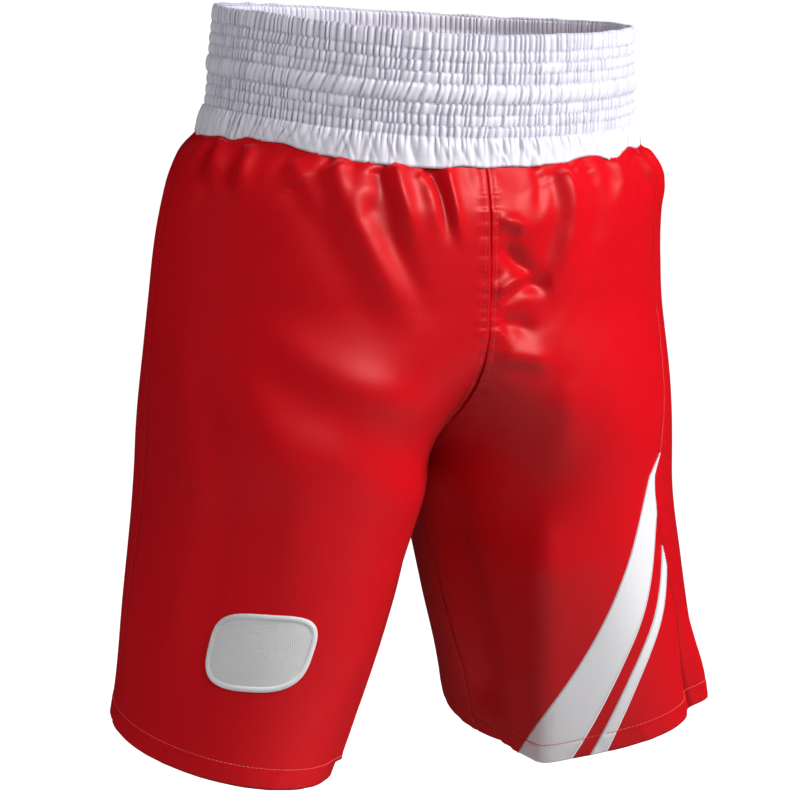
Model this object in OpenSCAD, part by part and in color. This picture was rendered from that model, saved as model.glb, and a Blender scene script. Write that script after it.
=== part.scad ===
// Boxing shorts: an elasticated, shirred waistband over four satin panels, with two wide legs.
// The wearer faces -Y, the right leg is on -X, and the origin is the middle of the top rim.
// Every cloth piece is a slab laid on one outer surface, given by a drop below the rim and a turn round a side.

/* [Waistband] */
// Half the width of the waist opening, side to side
waist_half_w = 150; // [110:1:190]
// Half the depth of the waist opening, front to back
waist_half_d = 108; // [80:1:140]
// Height of the topmost shirred row
top_row_h = 12.4; // [9:0.2:18]
// Height of each narrow shirred row
narrow_row_h = 7.8; // [6:0.2:12]
// Height of the drawcord channel
channel_h = 14; // [10:0.5:20]
// Height of the plain gathered skirt below the rows
skirt_h = 18; // [10:1:30]
// How far each row puffs out between its threads
row_puff = 1.4; // [0.4:0.1:3]
// How far the skirt flares out at its lower edge
skirt_flare = 9; // [4:1:20]

/* [Body] */
// Drop from the rim to the lowest point of the hems, at the left inseam
body_len = 520; // [430:1:630]
// Drop from the rim to the crotch
crotch_drop = 305; // [250:1:370]
// Height over which the crease between the legs opens
crease_h = 125; // [80:1:150]
// Half the width at the hips
hip_half_w = 188; // [155:1:230]
// Half the depth at the hips
hip_half_d = 132; // [100:1:160]
// Half the width across both thighs at the crotch
thigh_half_w = 194; // [160:1:240]
// Drop from the rim to the fullest part of the hips
hip_drop = 190; // [150:1:240]
// Share of a turn from the centre front to the right side seam
right_side_turn = 0.5; // [0.35:0.005:0.6]
// Share of a turn from the centre front to the left side seam, which hangs further forward
left_side_turn = 0.325; // [0.25:0.005:0.6]

/* [Right leg] */
// Distance from the middle to the inner edge of the right hem
right_hem_in = 66; // [40:1:90]
// Distance from the middle to the outer edge of the right hem
right_hem_out = 219; // [180:1:265]
// Half the front-to-back depth of the right hem
right_hem_half_d = 128; // [100:1:156]
// Turn of the right leg opening, toe outwards
right_toe = 8; // [0:1:15]
// How much higher the right hem hangs than the left at the inseam
right_lift = 6; // [0:1:20]
// How much higher the right hem is at its outer side
right_rise = 10; // [0:1:60]

/* [Left leg] */
// Distance from the middle to the inner edge of the left hem
left_hem_in = 54; // [40:1:90]
// Distance from the middle to the outer edge of the left hem
left_hem_out = 216; // [180:1:262]
// Half the front-to-back depth of the left hem
left_hem_half_d = 124; // [100:1:156]
// Turn of the left leg opening, toe outwards
left_toe = 12; // [0:1:15]
// How much higher the left hem is at its outer side
left_rise = 42; // [0:1:60]

/* [Cloth] */
// Thickness of the satin panels
panel_t = 0.8; // [0.5:0.1:1.5]
// Thickness of the waistband casing's walls
casing_t = 0.6; // [0.4:0.1:1.2]
// Thickness of the waistband elastics
elastic_t = 1.4; // [0.8:0.1:2]
// Clearance between layers that lie against each other
layer_gap = 0.3; // [0.2:0.05:0.6]
// Clearance under threads and applied trim
trim_gap = 0.15; // [0.1:0.05:0.4]
// Depth of the turned-up hems
hem_h = 14; // [8:1:25]
// Height of the thigh stretch that bends when a leg swings
bend_h = 50; // [40:1:62]

/* [Trim] */
// Width of a sewn thread
thread_w = 0.7; // [0.5:0.1:1.2]
// Distance between the twin rows of topstitching
twin_gap = 8; // [5:0.5:12]
// Width of the broad band on the left leg
band_w = 36; // [20:1:45]
// Width of the thin tape beside it
tape_w = 11; // [6:1:16]
// Space between the broad band and the thin tape
band_gap = 10; // [4:1:15]
// Thickness of the applied bands and the patch
trim_t = 0.4; // [0.3:0.1:1]
// Width of the blank patch
patch_w = 72; // [40:1:90]
// Height of the blank patch
patch_h = 50; // [30:1:70]
// Height of the patch's middle above the lowest hem
patch_up = 109; // [60:1:160]
// Width of the patch's embroidered border
border_w = 3.4; // [2:0.2:6]
// Thickness of the embroidered border
border_t = 0.6; // [0.3:0.1:1]
// Width of the blank care label
label_w = 32; // [20:1:50]
// Height of the blank care label
label_h = 42; // [25:1:60]

/* [Hidden] */

RIGHT = -1;
LEFT = 1;
FRONT = [0, 0.5];
BACK = [0.5, 1];
TURN_STEPS = 32;
SOFTEN = 8;
// Spread of the shirred rows over the rim's width and depth, by the lowest row
rows_out_w = 4;
rows_out_d = 2;
// Drops below the waist seam where the gathers open half way and all but fully, and what is still missing there
half_open = 14;
full_open = 35;
short_w = 7;
short_d = 4;

// Drops of the seams that cross the shirred rows, from the rim down
row_heights = [top_row_h, narrow_row_h, narrow_row_h, narrow_row_h, channel_h,
    narrow_row_h, narrow_row_h, narrow_row_h];
CHANNEL_ROW = 4;
function row_top(i) = i == 0 ? 0 : row_top(i - 1) + row_heights[i - 1];
rows = len(row_heights);
rows_h = row_top(rows);
waistband_h = rows_h + skirt_h;
leg_top = crotch_drop + bend_h;
facing_off = -(casing_t + elastic_t + 2 * layer_gap);

// Half width and half depth of the body at a drop below the rim
half_widths = [[0, waist_half_w], [rows_h, waist_half_w + rows_out_w], [waistband_h, waist_half_w + skirt_flare],
    [waistband_h + half_open, (waist_half_w + skirt_flare + hip_half_w) / 2],
    [waistband_h + full_open, hip_half_w - short_w], [hip_drop, hip_half_w], [crotch_drop, thigh_half_w],
    [body_len, thigh_half_w]];
half_depths = [[0, waist_half_d], [rows_h, waist_half_d + rows_out_d], [waistband_h, waist_half_d + skirt_flare / 2],
    [waistband_h + half_open, (waist_half_d + skirt_flare / 2 + hip_half_d) / 2],
    [waistband_h + full_open, hip_half_d - short_d], [hip_drop, hip_half_d], [crotch_drop, hip_half_d - 1],
    [body_len, hip_half_d - 1]];
function soft_lookup(s, table) = (lookup(s - SOFTEN, table) + lookup(s, table) + lookup(s + SOFTEN, table)) / 3;

function hem_in(side) = side == RIGHT ? right_hem_in : left_hem_in;
function hem_out(side) = side == RIGHT ? right_hem_out : left_hem_out;
function hem_half_d(side) = side == RIGHT ? right_hem_half_d : left_hem_half_d;
function toe(side) = side == RIGHT ? right_toe : left_toe;
function rise(side) = side == RIGHT ? right_rise : left_rise;
function lift(side) = side == RIGHT ? right_lift : 0;
function side_turn(side) = side == RIGHT ? right_side_turn : left_side_turn;

// Share of the leg's length that lies above a drop, 0 at the crotch and 1 at the hem
function leg_share(s) = max(0, (s - crotch_drop) / (body_len - crotch_drop));
function mix(a, b, t) = a + (b - a) * t;
// Section of one side: [middle's x, half width, half depth, toe angle]
function section(s, side) =
    let (t = leg_share(s),
        w = soft_lookup(s, half_widths) + (hem_out(side) - thigh_half_w) * t,
        d = mix(soft_lookup(s, half_depths), hem_half_d(side), t),
        open = min(1, max(0, 1 - (crotch_drop - s) / crease_h)),
        gap = hem_in(side) * t,
        mid = s < crotch_drop ? open * w / (1 + open) : (w + gap) / 2)
    [mid, w - mid, d, toe(side) * t];
// Turn at the centre seam, where the section meets the middle plane, or 180 on a leg
function seam_turn(mid, half_w, x) = let (r = (mid - x) / half_w) r >= 1 ? 180 : 270 - asin(r);
// Point on the surface: turn share u is 0 at the centre front, 0.5 at the side and 1 at the centre back
function skin_at(s, side, u, off) =
    let (q = section(s, side), a = q[1] + off, b = q[2] + off,
        start = seam_turn(q[0], a, 0), th = start + (720 - 2 * start) * u,
        x = a * cos(th), y = b * sin(th))
    [side * (q[0] + cos(q[3]) * x - sin(q[3]) * y), sin(q[3]) * x + cos(q[3]) * y, -s];
// Turn share at a distance x from the middle plane, on the front or the back of the body
function share_at(s, side, x, back) =
    let (q = section(s, side), start = seam_turn(q[0], q[1], 0), th = seam_turn(q[0], q[1], x),
        u = (th - start) / (720 - 2 * start))
    back ? 1 - u : u;
// Drop of the hem at a turn share: the outer side is higher by the leg's rise
function hem_drop(side, u) = body_len - lift(side) - rise(side) * (1 - cos(360 * u)) / 2;

// Closed slab over a grid of [drop, side, turn share], from offset lo out to offset hi
module slab(grid, lo, hi, wrap = false) {
    n = len(grid);
    m = len(grid[0]);
    outer = [for (row = grid) for (p = row) skin_at(p[0], p[1], p[2], hi)];
    inner = [for (row = grid) for (p = row) skin_at(p[0], p[1], p[2], lo)];
    k = n * m;
    last = wrap ? n - 1 : n - 2;
    function id(i, j) = (i % n) * m + j;
    faces = [
        for (i = [0:last]) for (j = [0:m - 2]) each [
            [id(i, j), id(i + 1, j), id(i + 1, j + 1)], [id(i, j), id(i + 1, j + 1), id(i, j + 1)],
            [k + id(i, j), k + id(i + 1, j + 1), k + id(i + 1, j)], [k + id(i, j), k + id(i, j + 1), k + id(i + 1, j + 1)]],
        for (i = [0:last]) each [
            [id(i, 0), k + id(i, 0), k + id(i + 1, 0)], [id(i, 0), k + id(i + 1, 0), id(i + 1, 0)],
            [id(i, m - 1), k + id(i + 1, m - 1), k + id(i, m - 1)], [id(i, m - 1), id(i + 1, m - 1), k + id(i + 1, m - 1)]],
        if (!wrap) for (j = [0:m - 2]) each [
            [id(0, j), k + id(0, j + 1), k + id(0, j)], [id(0, j), id(0, j + 1), k + id(0, j + 1)],
            [id(n - 1, j), k + id(n - 1, j), k + id(n - 1, j + 1)], [id(n - 1, j), k + id(n - 1, j + 1), id(n - 1, j + 1)]]];
    polyhedron(points = concat(outer, inner), faces = faces, convexity = 8);
}

// Turn shares of a side's facets, split at its side seam, so that every layer has its corners in line
function front_steps(side) = round(TURN_STEPS * side_turn(side));
function front_turns(side) = [for (i = [0:front_steps(side)]) side_turn(side) * i / front_steps(side)];
function back_turns(side) = let (n = TURN_STEPS - front_steps(side))
    [for (i = [0:n]) mix(side_turn(side), 1, i / n)];
function flip(list) = [for (i = [len(list) - 1:-1:0]) list[i]];
function in_order(side, list) = side == LEFT ? list : flip(list);
// Once round a side, from the centre front to just before it again
function round_turns(side) = concat([for (i = [0:front_steps(side) - 1]) front_turns(side)[i]],
    [for (i = [0:TURN_STEPS - front_steps(side) - 1]) back_turns(side)[i]]);
function leg_turns(side) = in_order(side, round_turns(side));
// Stops of [side, turn share] once round the waist, from the right side's centre back
waist_stops = concat([[RIGHT, 1]], [for (u = leg_turns(RIGHT)) if (u > 0) [RIGHT, u]],
    [for (u = round_turns(LEFT)) [LEFT, u]]);
// Closed ring round the waist with a profile of [drop, offset] points
module waist_ring(profile) {
    n = len(waist_stops);
    m = len(profile);
    points = [for (w = waist_stops) for (p = profile) skin_at(p[0], w[0], w[1], p[1])];
    function id(i, j) = (i % n) * m + (j % m);
    faces = [for (i = [0:n - 1]) for (j = [0:m - 1]) each [
        [id(i, j), id(i + 1, j + 1), id(i + 1, j)], [id(i, j), id(i, j + 1), id(i + 1, j + 1)]]];
    polyhedron(points = points, faces = faces, convexity = 10);
}
module thread_ring(s, off) {
    waist_ring([[s - thread_w / 2, off], [s, off + thread_w / 2], [s + thread_w / 2, off]]);
}

// Waistband: one strip folded over at the rim, puffed between its rows of thread, with a plain skirt below
module waistband_casing() {
    outer = [for (i = [0:rows - 1]) each [[row_top(i) + thread_w, i == 0 ? -casing_t / 2 : 0],
        [row_top(i) + row_heights[i] / 2, row_puff * (i == CHANNEL_ROW ? 1.5 : 1)],
        [row_top(i) + row_heights[i] - thread_w, 0]]];
    hollow = [for (i = [rows - 1:-1:0]) [row_top(i) + casing_t, -casing_t]];
    bend_drops = [casing_t, rows_h - SOFTEN, rows_h, rows_h + SOFTEN, waistband_h];
    inner_wall = [for (s = bend_drops) [s, facing_off]];
    lining = [for (i = [4:-1:0]) [i == 0 ? 0 : bend_drops[i], facing_off - casing_t]];
    color("white") waist_ring(concat([[0, -casing_t]], outer, [[rows_h + SOFTEN, 0], [waistband_h, 0],
        [waistband_h, -casing_t], [rows_h + SOFTEN, -casing_t]], hollow, inner_wall, lining));
}
// Flat elastic in a row, counted from the top and skipping the drawcord channel
module elastic(count) {
    i = count <= CHANNEL_ROW ? count - 1 : count;
    margin = max(casing_t + layer_gap, 1);
    top = row_top(i) + margin;
    bottom = row_top(i) + row_heights[i] - margin;
    hi = -(casing_t + layer_gap);
    color("ivory") waist_ring([[top, hi], [bottom, hi], [bottom, hi - elastic_t], [top, hi - elastic_t]]);
}
module elastic_1() { elastic(1); }
module elastic_2() { elastic(2); }
module elastic_3() { elastic(3); }
module elastic_4() { elastic(4); }
module elastic_5() { elastic(5); }
module elastic_6() { elastic(6); }
module elastic_7() { elastic(7); }
// One thread round the waistband below each row
module shirring_threads() {
    color("gainsboro") for (i = [1:rows]) thread_ring(row_top(i), trim_gap);
}
// Thread that joins the skirt to the panels, on the inner side of the seam
module waist_seam_thread() {
    color("firebrick") thread_ring(waistband_h + thread_w, -panel_t - trim_gap - thread_w / 2);
}
// Blank label that hangs inside the back, from the waistband's inner wall
module care_label() {
    off = facing_off - casing_t - 2 * layer_gap;
    steps = 4;
    first = rows_h + SOFTEN / 2;
    label_drops = [first, rows_h + SOFTEN, waistband_h, waistband_h + SOFTEN, first + label_h];
    grid = [for (i = [0:steps]) let (x = mix(-label_w / 2, label_w / 2, i / steps), side = x < 0 ? RIGHT : LEFT)
        [for (s = label_drops) [s, side, share_at(s, side, abs(x), true)]]];
    color("whitesmoke") slab(grid, off - trim_t, off);
}

// Drops of the upper panels' facets, closer together over the gathers
gather_drops = [waistband_h, waistband_h + half_open / 2, waistband_h + half_open,
    waistband_h + 1.8 * half_open, waistband_h + full_open + SOFTEN / 2];
BELOW_STEPS = 8;
body_drops = concat(gather_drops, [for (i = [1:BELOW_STEPS]) mix(gather_drops[4], crotch_drop, i / BELOW_STEPS)]);
// Panel of the upper body, from the waist seam to the crotch
module upper_panel(side, turns) {
    color("crimson") slab([for (u = in_order(side, turns)) [for (s = body_drops) [s, side, u]]], -panel_t, 0);
}
module right_front_panel() { upper_panel(RIGHT, front_turns(RIGHT)); }
module right_back_panel() { upper_panel(RIGHT, back_turns(RIGHT)); }
module left_front_panel() { upper_panel(LEFT, front_turns(LEFT)); }
module left_back_panel() { upper_panel(LEFT, back_turns(LEFT)); }

// Stretch of both panels of a leg that bends as the leg swings
module thigh_bend(side) {
    drops = [for (i = [0:3]) mix(crotch_drop, leg_top, i / 3)];
    color("crimson") slab([for (u = leg_turns(side)) [for (s = drops) [s, side, u]]], -panel_t, 0, true);
}
module right_thigh_bend() { thigh_bend(RIGHT); }
module left_thigh_bend() { thigh_bend(LEFT); }

// Panel of the lower leg, down to the hem
module lower_panel(side, turns) {
    rows_down = 7;
    color("crimson") slab([for (u = in_order(side, turns)) [for (j = [0:rows_down])
        [mix(leg_top, hem_drop(side, u), j / rows_down), side, u]]], -panel_t, 0);
}
module right_front_leg() { lower_panel(RIGHT, front_turns(RIGHT)); }
module right_back_leg() { lower_panel(RIGHT, back_turns(RIGHT)); }
module left_front_leg() { lower_panel(LEFT, front_turns(LEFT)); }
module left_back_leg() { lower_panel(LEFT, back_turns(LEFT)); }

// Ring round a leg between two heights above the hem edge
module hem_ring(side, low, high, lo, hi) {
    slab([for (u = leg_turns(side)) [for (h = [high, low]) [hem_drop(side, u) - h, side, u]]], lo, hi, true);
}
module hem(side) {
    off = -panel_t - layer_gap;
    color("firebrick") hem_ring(side, 0, hem_h, off - panel_t, off);
}
module right_hem() { hem(RIGHT); }
module left_hem() { hem(LEFT); }
module hem_thread(side) {
    color("indianred") hem_ring(side, hem_h - 1 - thread_w, hem_h - 1, trim_gap, trim_gap + thread_w / 2);
}
module right_hem_thread() { hem_thread(RIGHT); }
module left_hem_thread() { hem_thread(LEFT); }

// Thread that runs down the surface between two turn shares at each drop
module down_thread(side, stops, lo, hi) {
    slab([for (p = stops) [[p[0], side, p[1]], [p[0], side, p[2]]]], lo, hi);
}
// Twin rows of stitches beside the centre seam, front or back, from the waist seam to the crease
module rise_topstitch(back) {
    first = waistband_h + 2;
    last = crotch_drop - 25;
    steps = 20;
    near = (twin_gap - thread_w) / 2;
    far = (twin_gap + thread_w) / 2;
    color("indianred") for (side = [RIGHT, LEFT]) {
        flip = (side == RIGHT) != back;
        down_thread(side, [for (i = [0:steps]) let (s = mix(first, last, i / steps))
            [s, share_at(s, side, flip ? near : far, back), share_at(s, side, flip ? far : near, back)]],
            layer_gap, layer_gap + thread_w / 2);
    }
}
module front_rise_topstitch() { rise_topstitch(false); }
module back_rise_topstitch() { rise_topstitch(true); }
// Thread down the outer side seam or the inseam of one side, on the inner face
SEAM_TURN = 0.0016;
module seam_thread(side, u, drops) {
    dir = side == RIGHT ? 1 : -1;
    hi = -panel_t - layer_gap;
    color("firebrick") down_thread(side, [for (s = drops) [s, u - dir * SEAM_TURN, u + dir * SEAM_TURN]],
        hi - thread_w / 2, hi);
}
// Drops down a leg, short of the seam at the thigh and of the turned-up hem
function leg_drops(side, u) = let (steps = 8, first = leg_top + 2, last = hem_drop(side, u) - hem_h - 2)
    [for (i = [0:steps]) mix(first, last, i / steps)];
module hip_seam_thread(side) {
    last = len(body_drops) - 1;
    seam_thread(side, side_turn(side), concat([waistband_h + 3], [for (i = [1:last - 1]) body_drops[i]],
        [crotch_drop - 2]));
}
module right_hip_seam_thread() { hip_seam_thread(RIGHT); }
module left_hip_seam_thread() { hip_seam_thread(LEFT); }
module side_seam_thread(side) { seam_thread(side, side_turn(side), leg_drops(side, side_turn(side))); }
module right_side_seam_thread() { side_seam_thread(RIGHT); }
module left_side_seam_thread() { side_seam_thread(LEFT); }
module inseam_thread(side) { seam_thread(side, 0.002, leg_drops(side, 0)); }
module right_inseam_thread() { inseam_thread(RIGHT); }
module left_inseam_thread() { inseam_thread(LEFT); }

// Applied bands on the left leg sweep from the side seam down and forwards to the hem, over the hem's thread
band_top_turn = 0.275;
band_hem_turn = 0.055;
band_curve = 1.1;
band_off = trim_gap + thread_w / 2 + layer_gap;
seam_margin = 3;
// Millimetres round the leg for a whole turn share, near the hem
leg_round = 2 * PI * sqrt((pow((left_hem_out - left_hem_in) / 2, 2) + pow(left_hem_half_d, 2)) / 2);
function band_turn(t) = mix(band_top_turn, band_hem_turn, pow(t, band_curve));
// Share of the way down at which an edge behind the band's front edge comes out of the side seam
function out_of_seam(d) = let (u = left_side_turn - (seam_margin + d) / leg_round)
    pow(max(0, (band_top_turn - u) / (band_top_turn - band_hem_turn)), 1 / band_curve);
// Applied strip between two distances behind the band's front edge, cut off by the side seam
module swept_strip(from_d, to_d) {
    steps = 24;
    columns = 4;
    first = out_of_seam(from_d + seam_margin / 2);
    last_turn = left_side_turn - seam_margin / 2 / leg_round;
    stops = [for (i = [0:steps]) let (t = mix(first, 1, i / steps), u = band_turn(t),
            s = mix(leg_top + 2, hem_drop(LEFT, u) - 1, t))
        [s, min(last_turn, u + to_d / leg_round), u + from_d / leg_round]];
    color("white") slab([for (p = stops) [for (c = [0:columns]) [p[0], LEFT, mix(p[1], p[2], c / columns)]]],
        band_off, band_off + trim_t);
}
module broad_band() { swept_strip(0, band_w); }
module thin_tape() { swept_strip(band_w + band_gap, band_w + band_gap + tape_w); }

// Blank rounded patch low on the right leg's front, wider at the top than at the foot
patch_turn = 0.3;
patch_drop = body_len - patch_up;
function patch_point(a, grow) =
    let (c = cos(a), n = sin(a),
        x = (patch_w / 2 + grow) * sign(c) * pow(abs(c), 0.7) * (1 - 0.12 * (n < 0 ? 1 : 0) * abs(n)),
        z = (patch_h / 2 + grow) * sign(n) * pow(abs(n), 0.7))
    [patch_drop - z, RIGHT, patch_turn - x / leg_round];
module patch_ring(inner, outer, lo, hi) {
    n = 40;
    slab([for (i = [0:n - 1]) [patch_point(360 * i / n, outer), patch_point(360 * i / n, inner)]], lo, hi, true);
}
module blank_patch() {
    n = 40;
    rings = 5;
    hi = trim_gap + trim_t;
    function at(i, k) = let (p = patch_point(360 * i / n, 0), c = [patch_drop, RIGHT, patch_turn])
        [mix(c[0], p[0], k / rings), RIGHT, mix(c[2], p[2], k / rings)];
    function top(i, k, off) = let (p = at(i, k)) skin_at(p[0], p[1], p[2], off);
    outer = concat([top(0, 0, hi)], [for (k = [1:rings]) for (i = [0:n - 1]) top(i, k, hi)]);
    inner = concat([top(0, 0, trim_gap)], [for (k = [1:rings]) for (i = [0:n - 1]) top(i, k, trim_gap)]);
    m = len(outer);
    function id(i, k) = 1 + (k - 1) * n + (i % n);
    cap = concat([for (i = [0:n - 1]) [0, id(i + 1, 1), id(i, 1)]],
        [for (k = [1:rings - 1]) for (i = [0:n - 1]) each [
            [id(i, k), id(i + 1, k), id(i + 1, k + 1)], [id(i, k), id(i + 1, k + 1), id(i, k + 1)]]]);
    base = [for (f = cap) [m + f[0], m + f[2], m + f[1]]];
    wall = [for (i = [0:n - 1]) each [
        [id(i, rings), id(i + 1, rings), m + id(i + 1, rings)], [id(i, rings), m + id(i + 1, rings), m + id(i, rings)]]];
    color("whitesmoke") polyhedron(points = concat(outer, inner), faces = concat(cap, base, wall), convexity = 6);
}
// Raised satin-stitch border that stands on the patch's edge
module patch_border() {
    low = 2 * trim_gap + trim_t;
    color("white") patch_ring(-border_w, 0, low, low + border_t);
}

waistband_casing();
elastic_1();
elastic_2();
elastic_3();
elastic_4();
elastic_5();
elastic_6();
elastic_7();
shirring_threads();
waist_seam_thread();
care_label();
right_front_panel();
right_back_panel();
left_front_panel();
left_back_panel();
front_rise_topstitch();
back_rise_topstitch();
right_hip_seam_thread();
left_hip_seam_thread();
right_thigh_bend();
left_thigh_bend();
right_front_leg();
right_back_leg();
left_front_leg();
left_back_leg();
right_side_seam_thread();
left_side_seam_thread();
right_inseam_thread();
left_inseam_thread();
right_hem();
left_hem();
right_hem_thread();
left_hem_thread();
broad_band();
thin_tape();
blank_patch();
patch_border();
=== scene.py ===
"""Boxing shorts: shirred waistband, four satin panels, turned-up hems, applied bands and a blank patch."""

import sys
import logging
import math
from dataclasses import dataclass, field
from enum import Enum
from typing import Any, Iterable, Sequence

import bmesh
import bpy
import numpy as np
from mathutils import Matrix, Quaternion, Vector


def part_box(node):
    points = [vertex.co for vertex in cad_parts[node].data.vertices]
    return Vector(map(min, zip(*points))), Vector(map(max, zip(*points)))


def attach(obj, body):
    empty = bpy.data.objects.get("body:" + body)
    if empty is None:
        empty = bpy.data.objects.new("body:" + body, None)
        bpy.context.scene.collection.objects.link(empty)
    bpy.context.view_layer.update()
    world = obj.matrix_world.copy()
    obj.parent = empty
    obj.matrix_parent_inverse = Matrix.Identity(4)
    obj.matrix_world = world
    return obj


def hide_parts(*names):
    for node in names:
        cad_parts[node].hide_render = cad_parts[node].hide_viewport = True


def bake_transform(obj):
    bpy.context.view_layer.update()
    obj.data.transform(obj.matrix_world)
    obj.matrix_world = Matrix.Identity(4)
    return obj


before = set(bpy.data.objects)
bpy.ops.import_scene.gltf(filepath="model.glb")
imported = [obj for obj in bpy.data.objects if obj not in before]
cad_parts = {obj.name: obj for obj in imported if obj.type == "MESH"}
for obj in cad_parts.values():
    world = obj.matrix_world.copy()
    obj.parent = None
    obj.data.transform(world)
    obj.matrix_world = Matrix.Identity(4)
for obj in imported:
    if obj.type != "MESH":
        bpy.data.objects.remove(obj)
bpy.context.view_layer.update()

LOG = logging.getLogger("boxing_shorts")
MM = 0.001
TINY = 1e-12
Array = np.ndarray


class Side(Enum):
    """Wearer's side; the value is the sign of X."""

    RIGHT = -1
    LEFT = 1

    @property
    def word(self) -> str:
        """Lower-case word used in node and body names."""
        return self.name.lower()


class Half(Enum):
    """Front or back panel of a side."""

    FRONT = 0
    BACK = 1

    @property
    def word(self) -> str:
        """Lower-case word used in node names."""
        return self.name.lower()


# ---------------------------------------------------------------- curves and smooth noise


def unit(vectors: Array) -> Array:
    """Vectors scaled to unit length."""
    return vectors / np.maximum(np.linalg.norm(vectors, axis=-1, keepdims=True), TINY)


def bell(x: Array, middle: float, width: float) -> Array:
    """Smooth bump of height 1 round a middle."""
    return np.exp(-((x - middle) / width) ** 2)


def ease(t: Array) -> Array:
    """Smooth rise from 0 at 0 to 1 at 1."""
    return t * t * (3 - 2 * t)


def smooth_step(x: Array, lo: float, hi: float) -> Array:
    """Ease from 0 at lo to 1 at hi."""
    return ease(np.clip((x - lo) / (hi - lo), 0.0, 1.0))


class Ripple:
    """Seeded smooth noise on a line or a plane, from -1 to 1."""

    TABLE = 512
    ROW_SHIFT = 37.3

    def __init__(self, seed: int) -> None:
        """Fill the table of random heights.

        Args:
            seed: Number that fixes the pattern.
        """
        self.heights = np.random.default_rng(seed).uniform(-1.0, 1.0, self.TABLE)

    def line(self, x: Array, period: int = TABLE) -> Array:
        """Noise along a line that repeats after a whole number of cells.

        Args:
            x: Positions, one cell a unit.
            period: Cells after which the pattern repeats.

        Returns:
            Heights from -1 to 1.
        """
        cell = np.floor(x).astype(int)
        t = ease(x - cell)
        a = self.heights[np.mod(cell, period) % self.TABLE]
        b = self.heights[np.mod(cell + 1, period) % self.TABLE]
        return a + (b - a) * t

    def plane(self, x: Array, y: Array) -> Array:
        """Noise over a plane, one cell a unit each way, from -1 to 1."""
        row = np.floor(y).astype(int)
        a, b = (self.line(x + self.ROW_SHIFT * r) for r in (row, row + 1))
        return a + (b - a) * ease(y - row)


# ---------------------------------------------------------------- garment block


@dataclass(frozen=True)
class LegCut:
    """How one leg hangs, in metres and degrees."""

    hem_in: float
    hem_out: float
    hem_half_d: float
    toe: float
    lift: float
    rise: float
    seam: float
    spread: float
    kick: float


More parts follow.
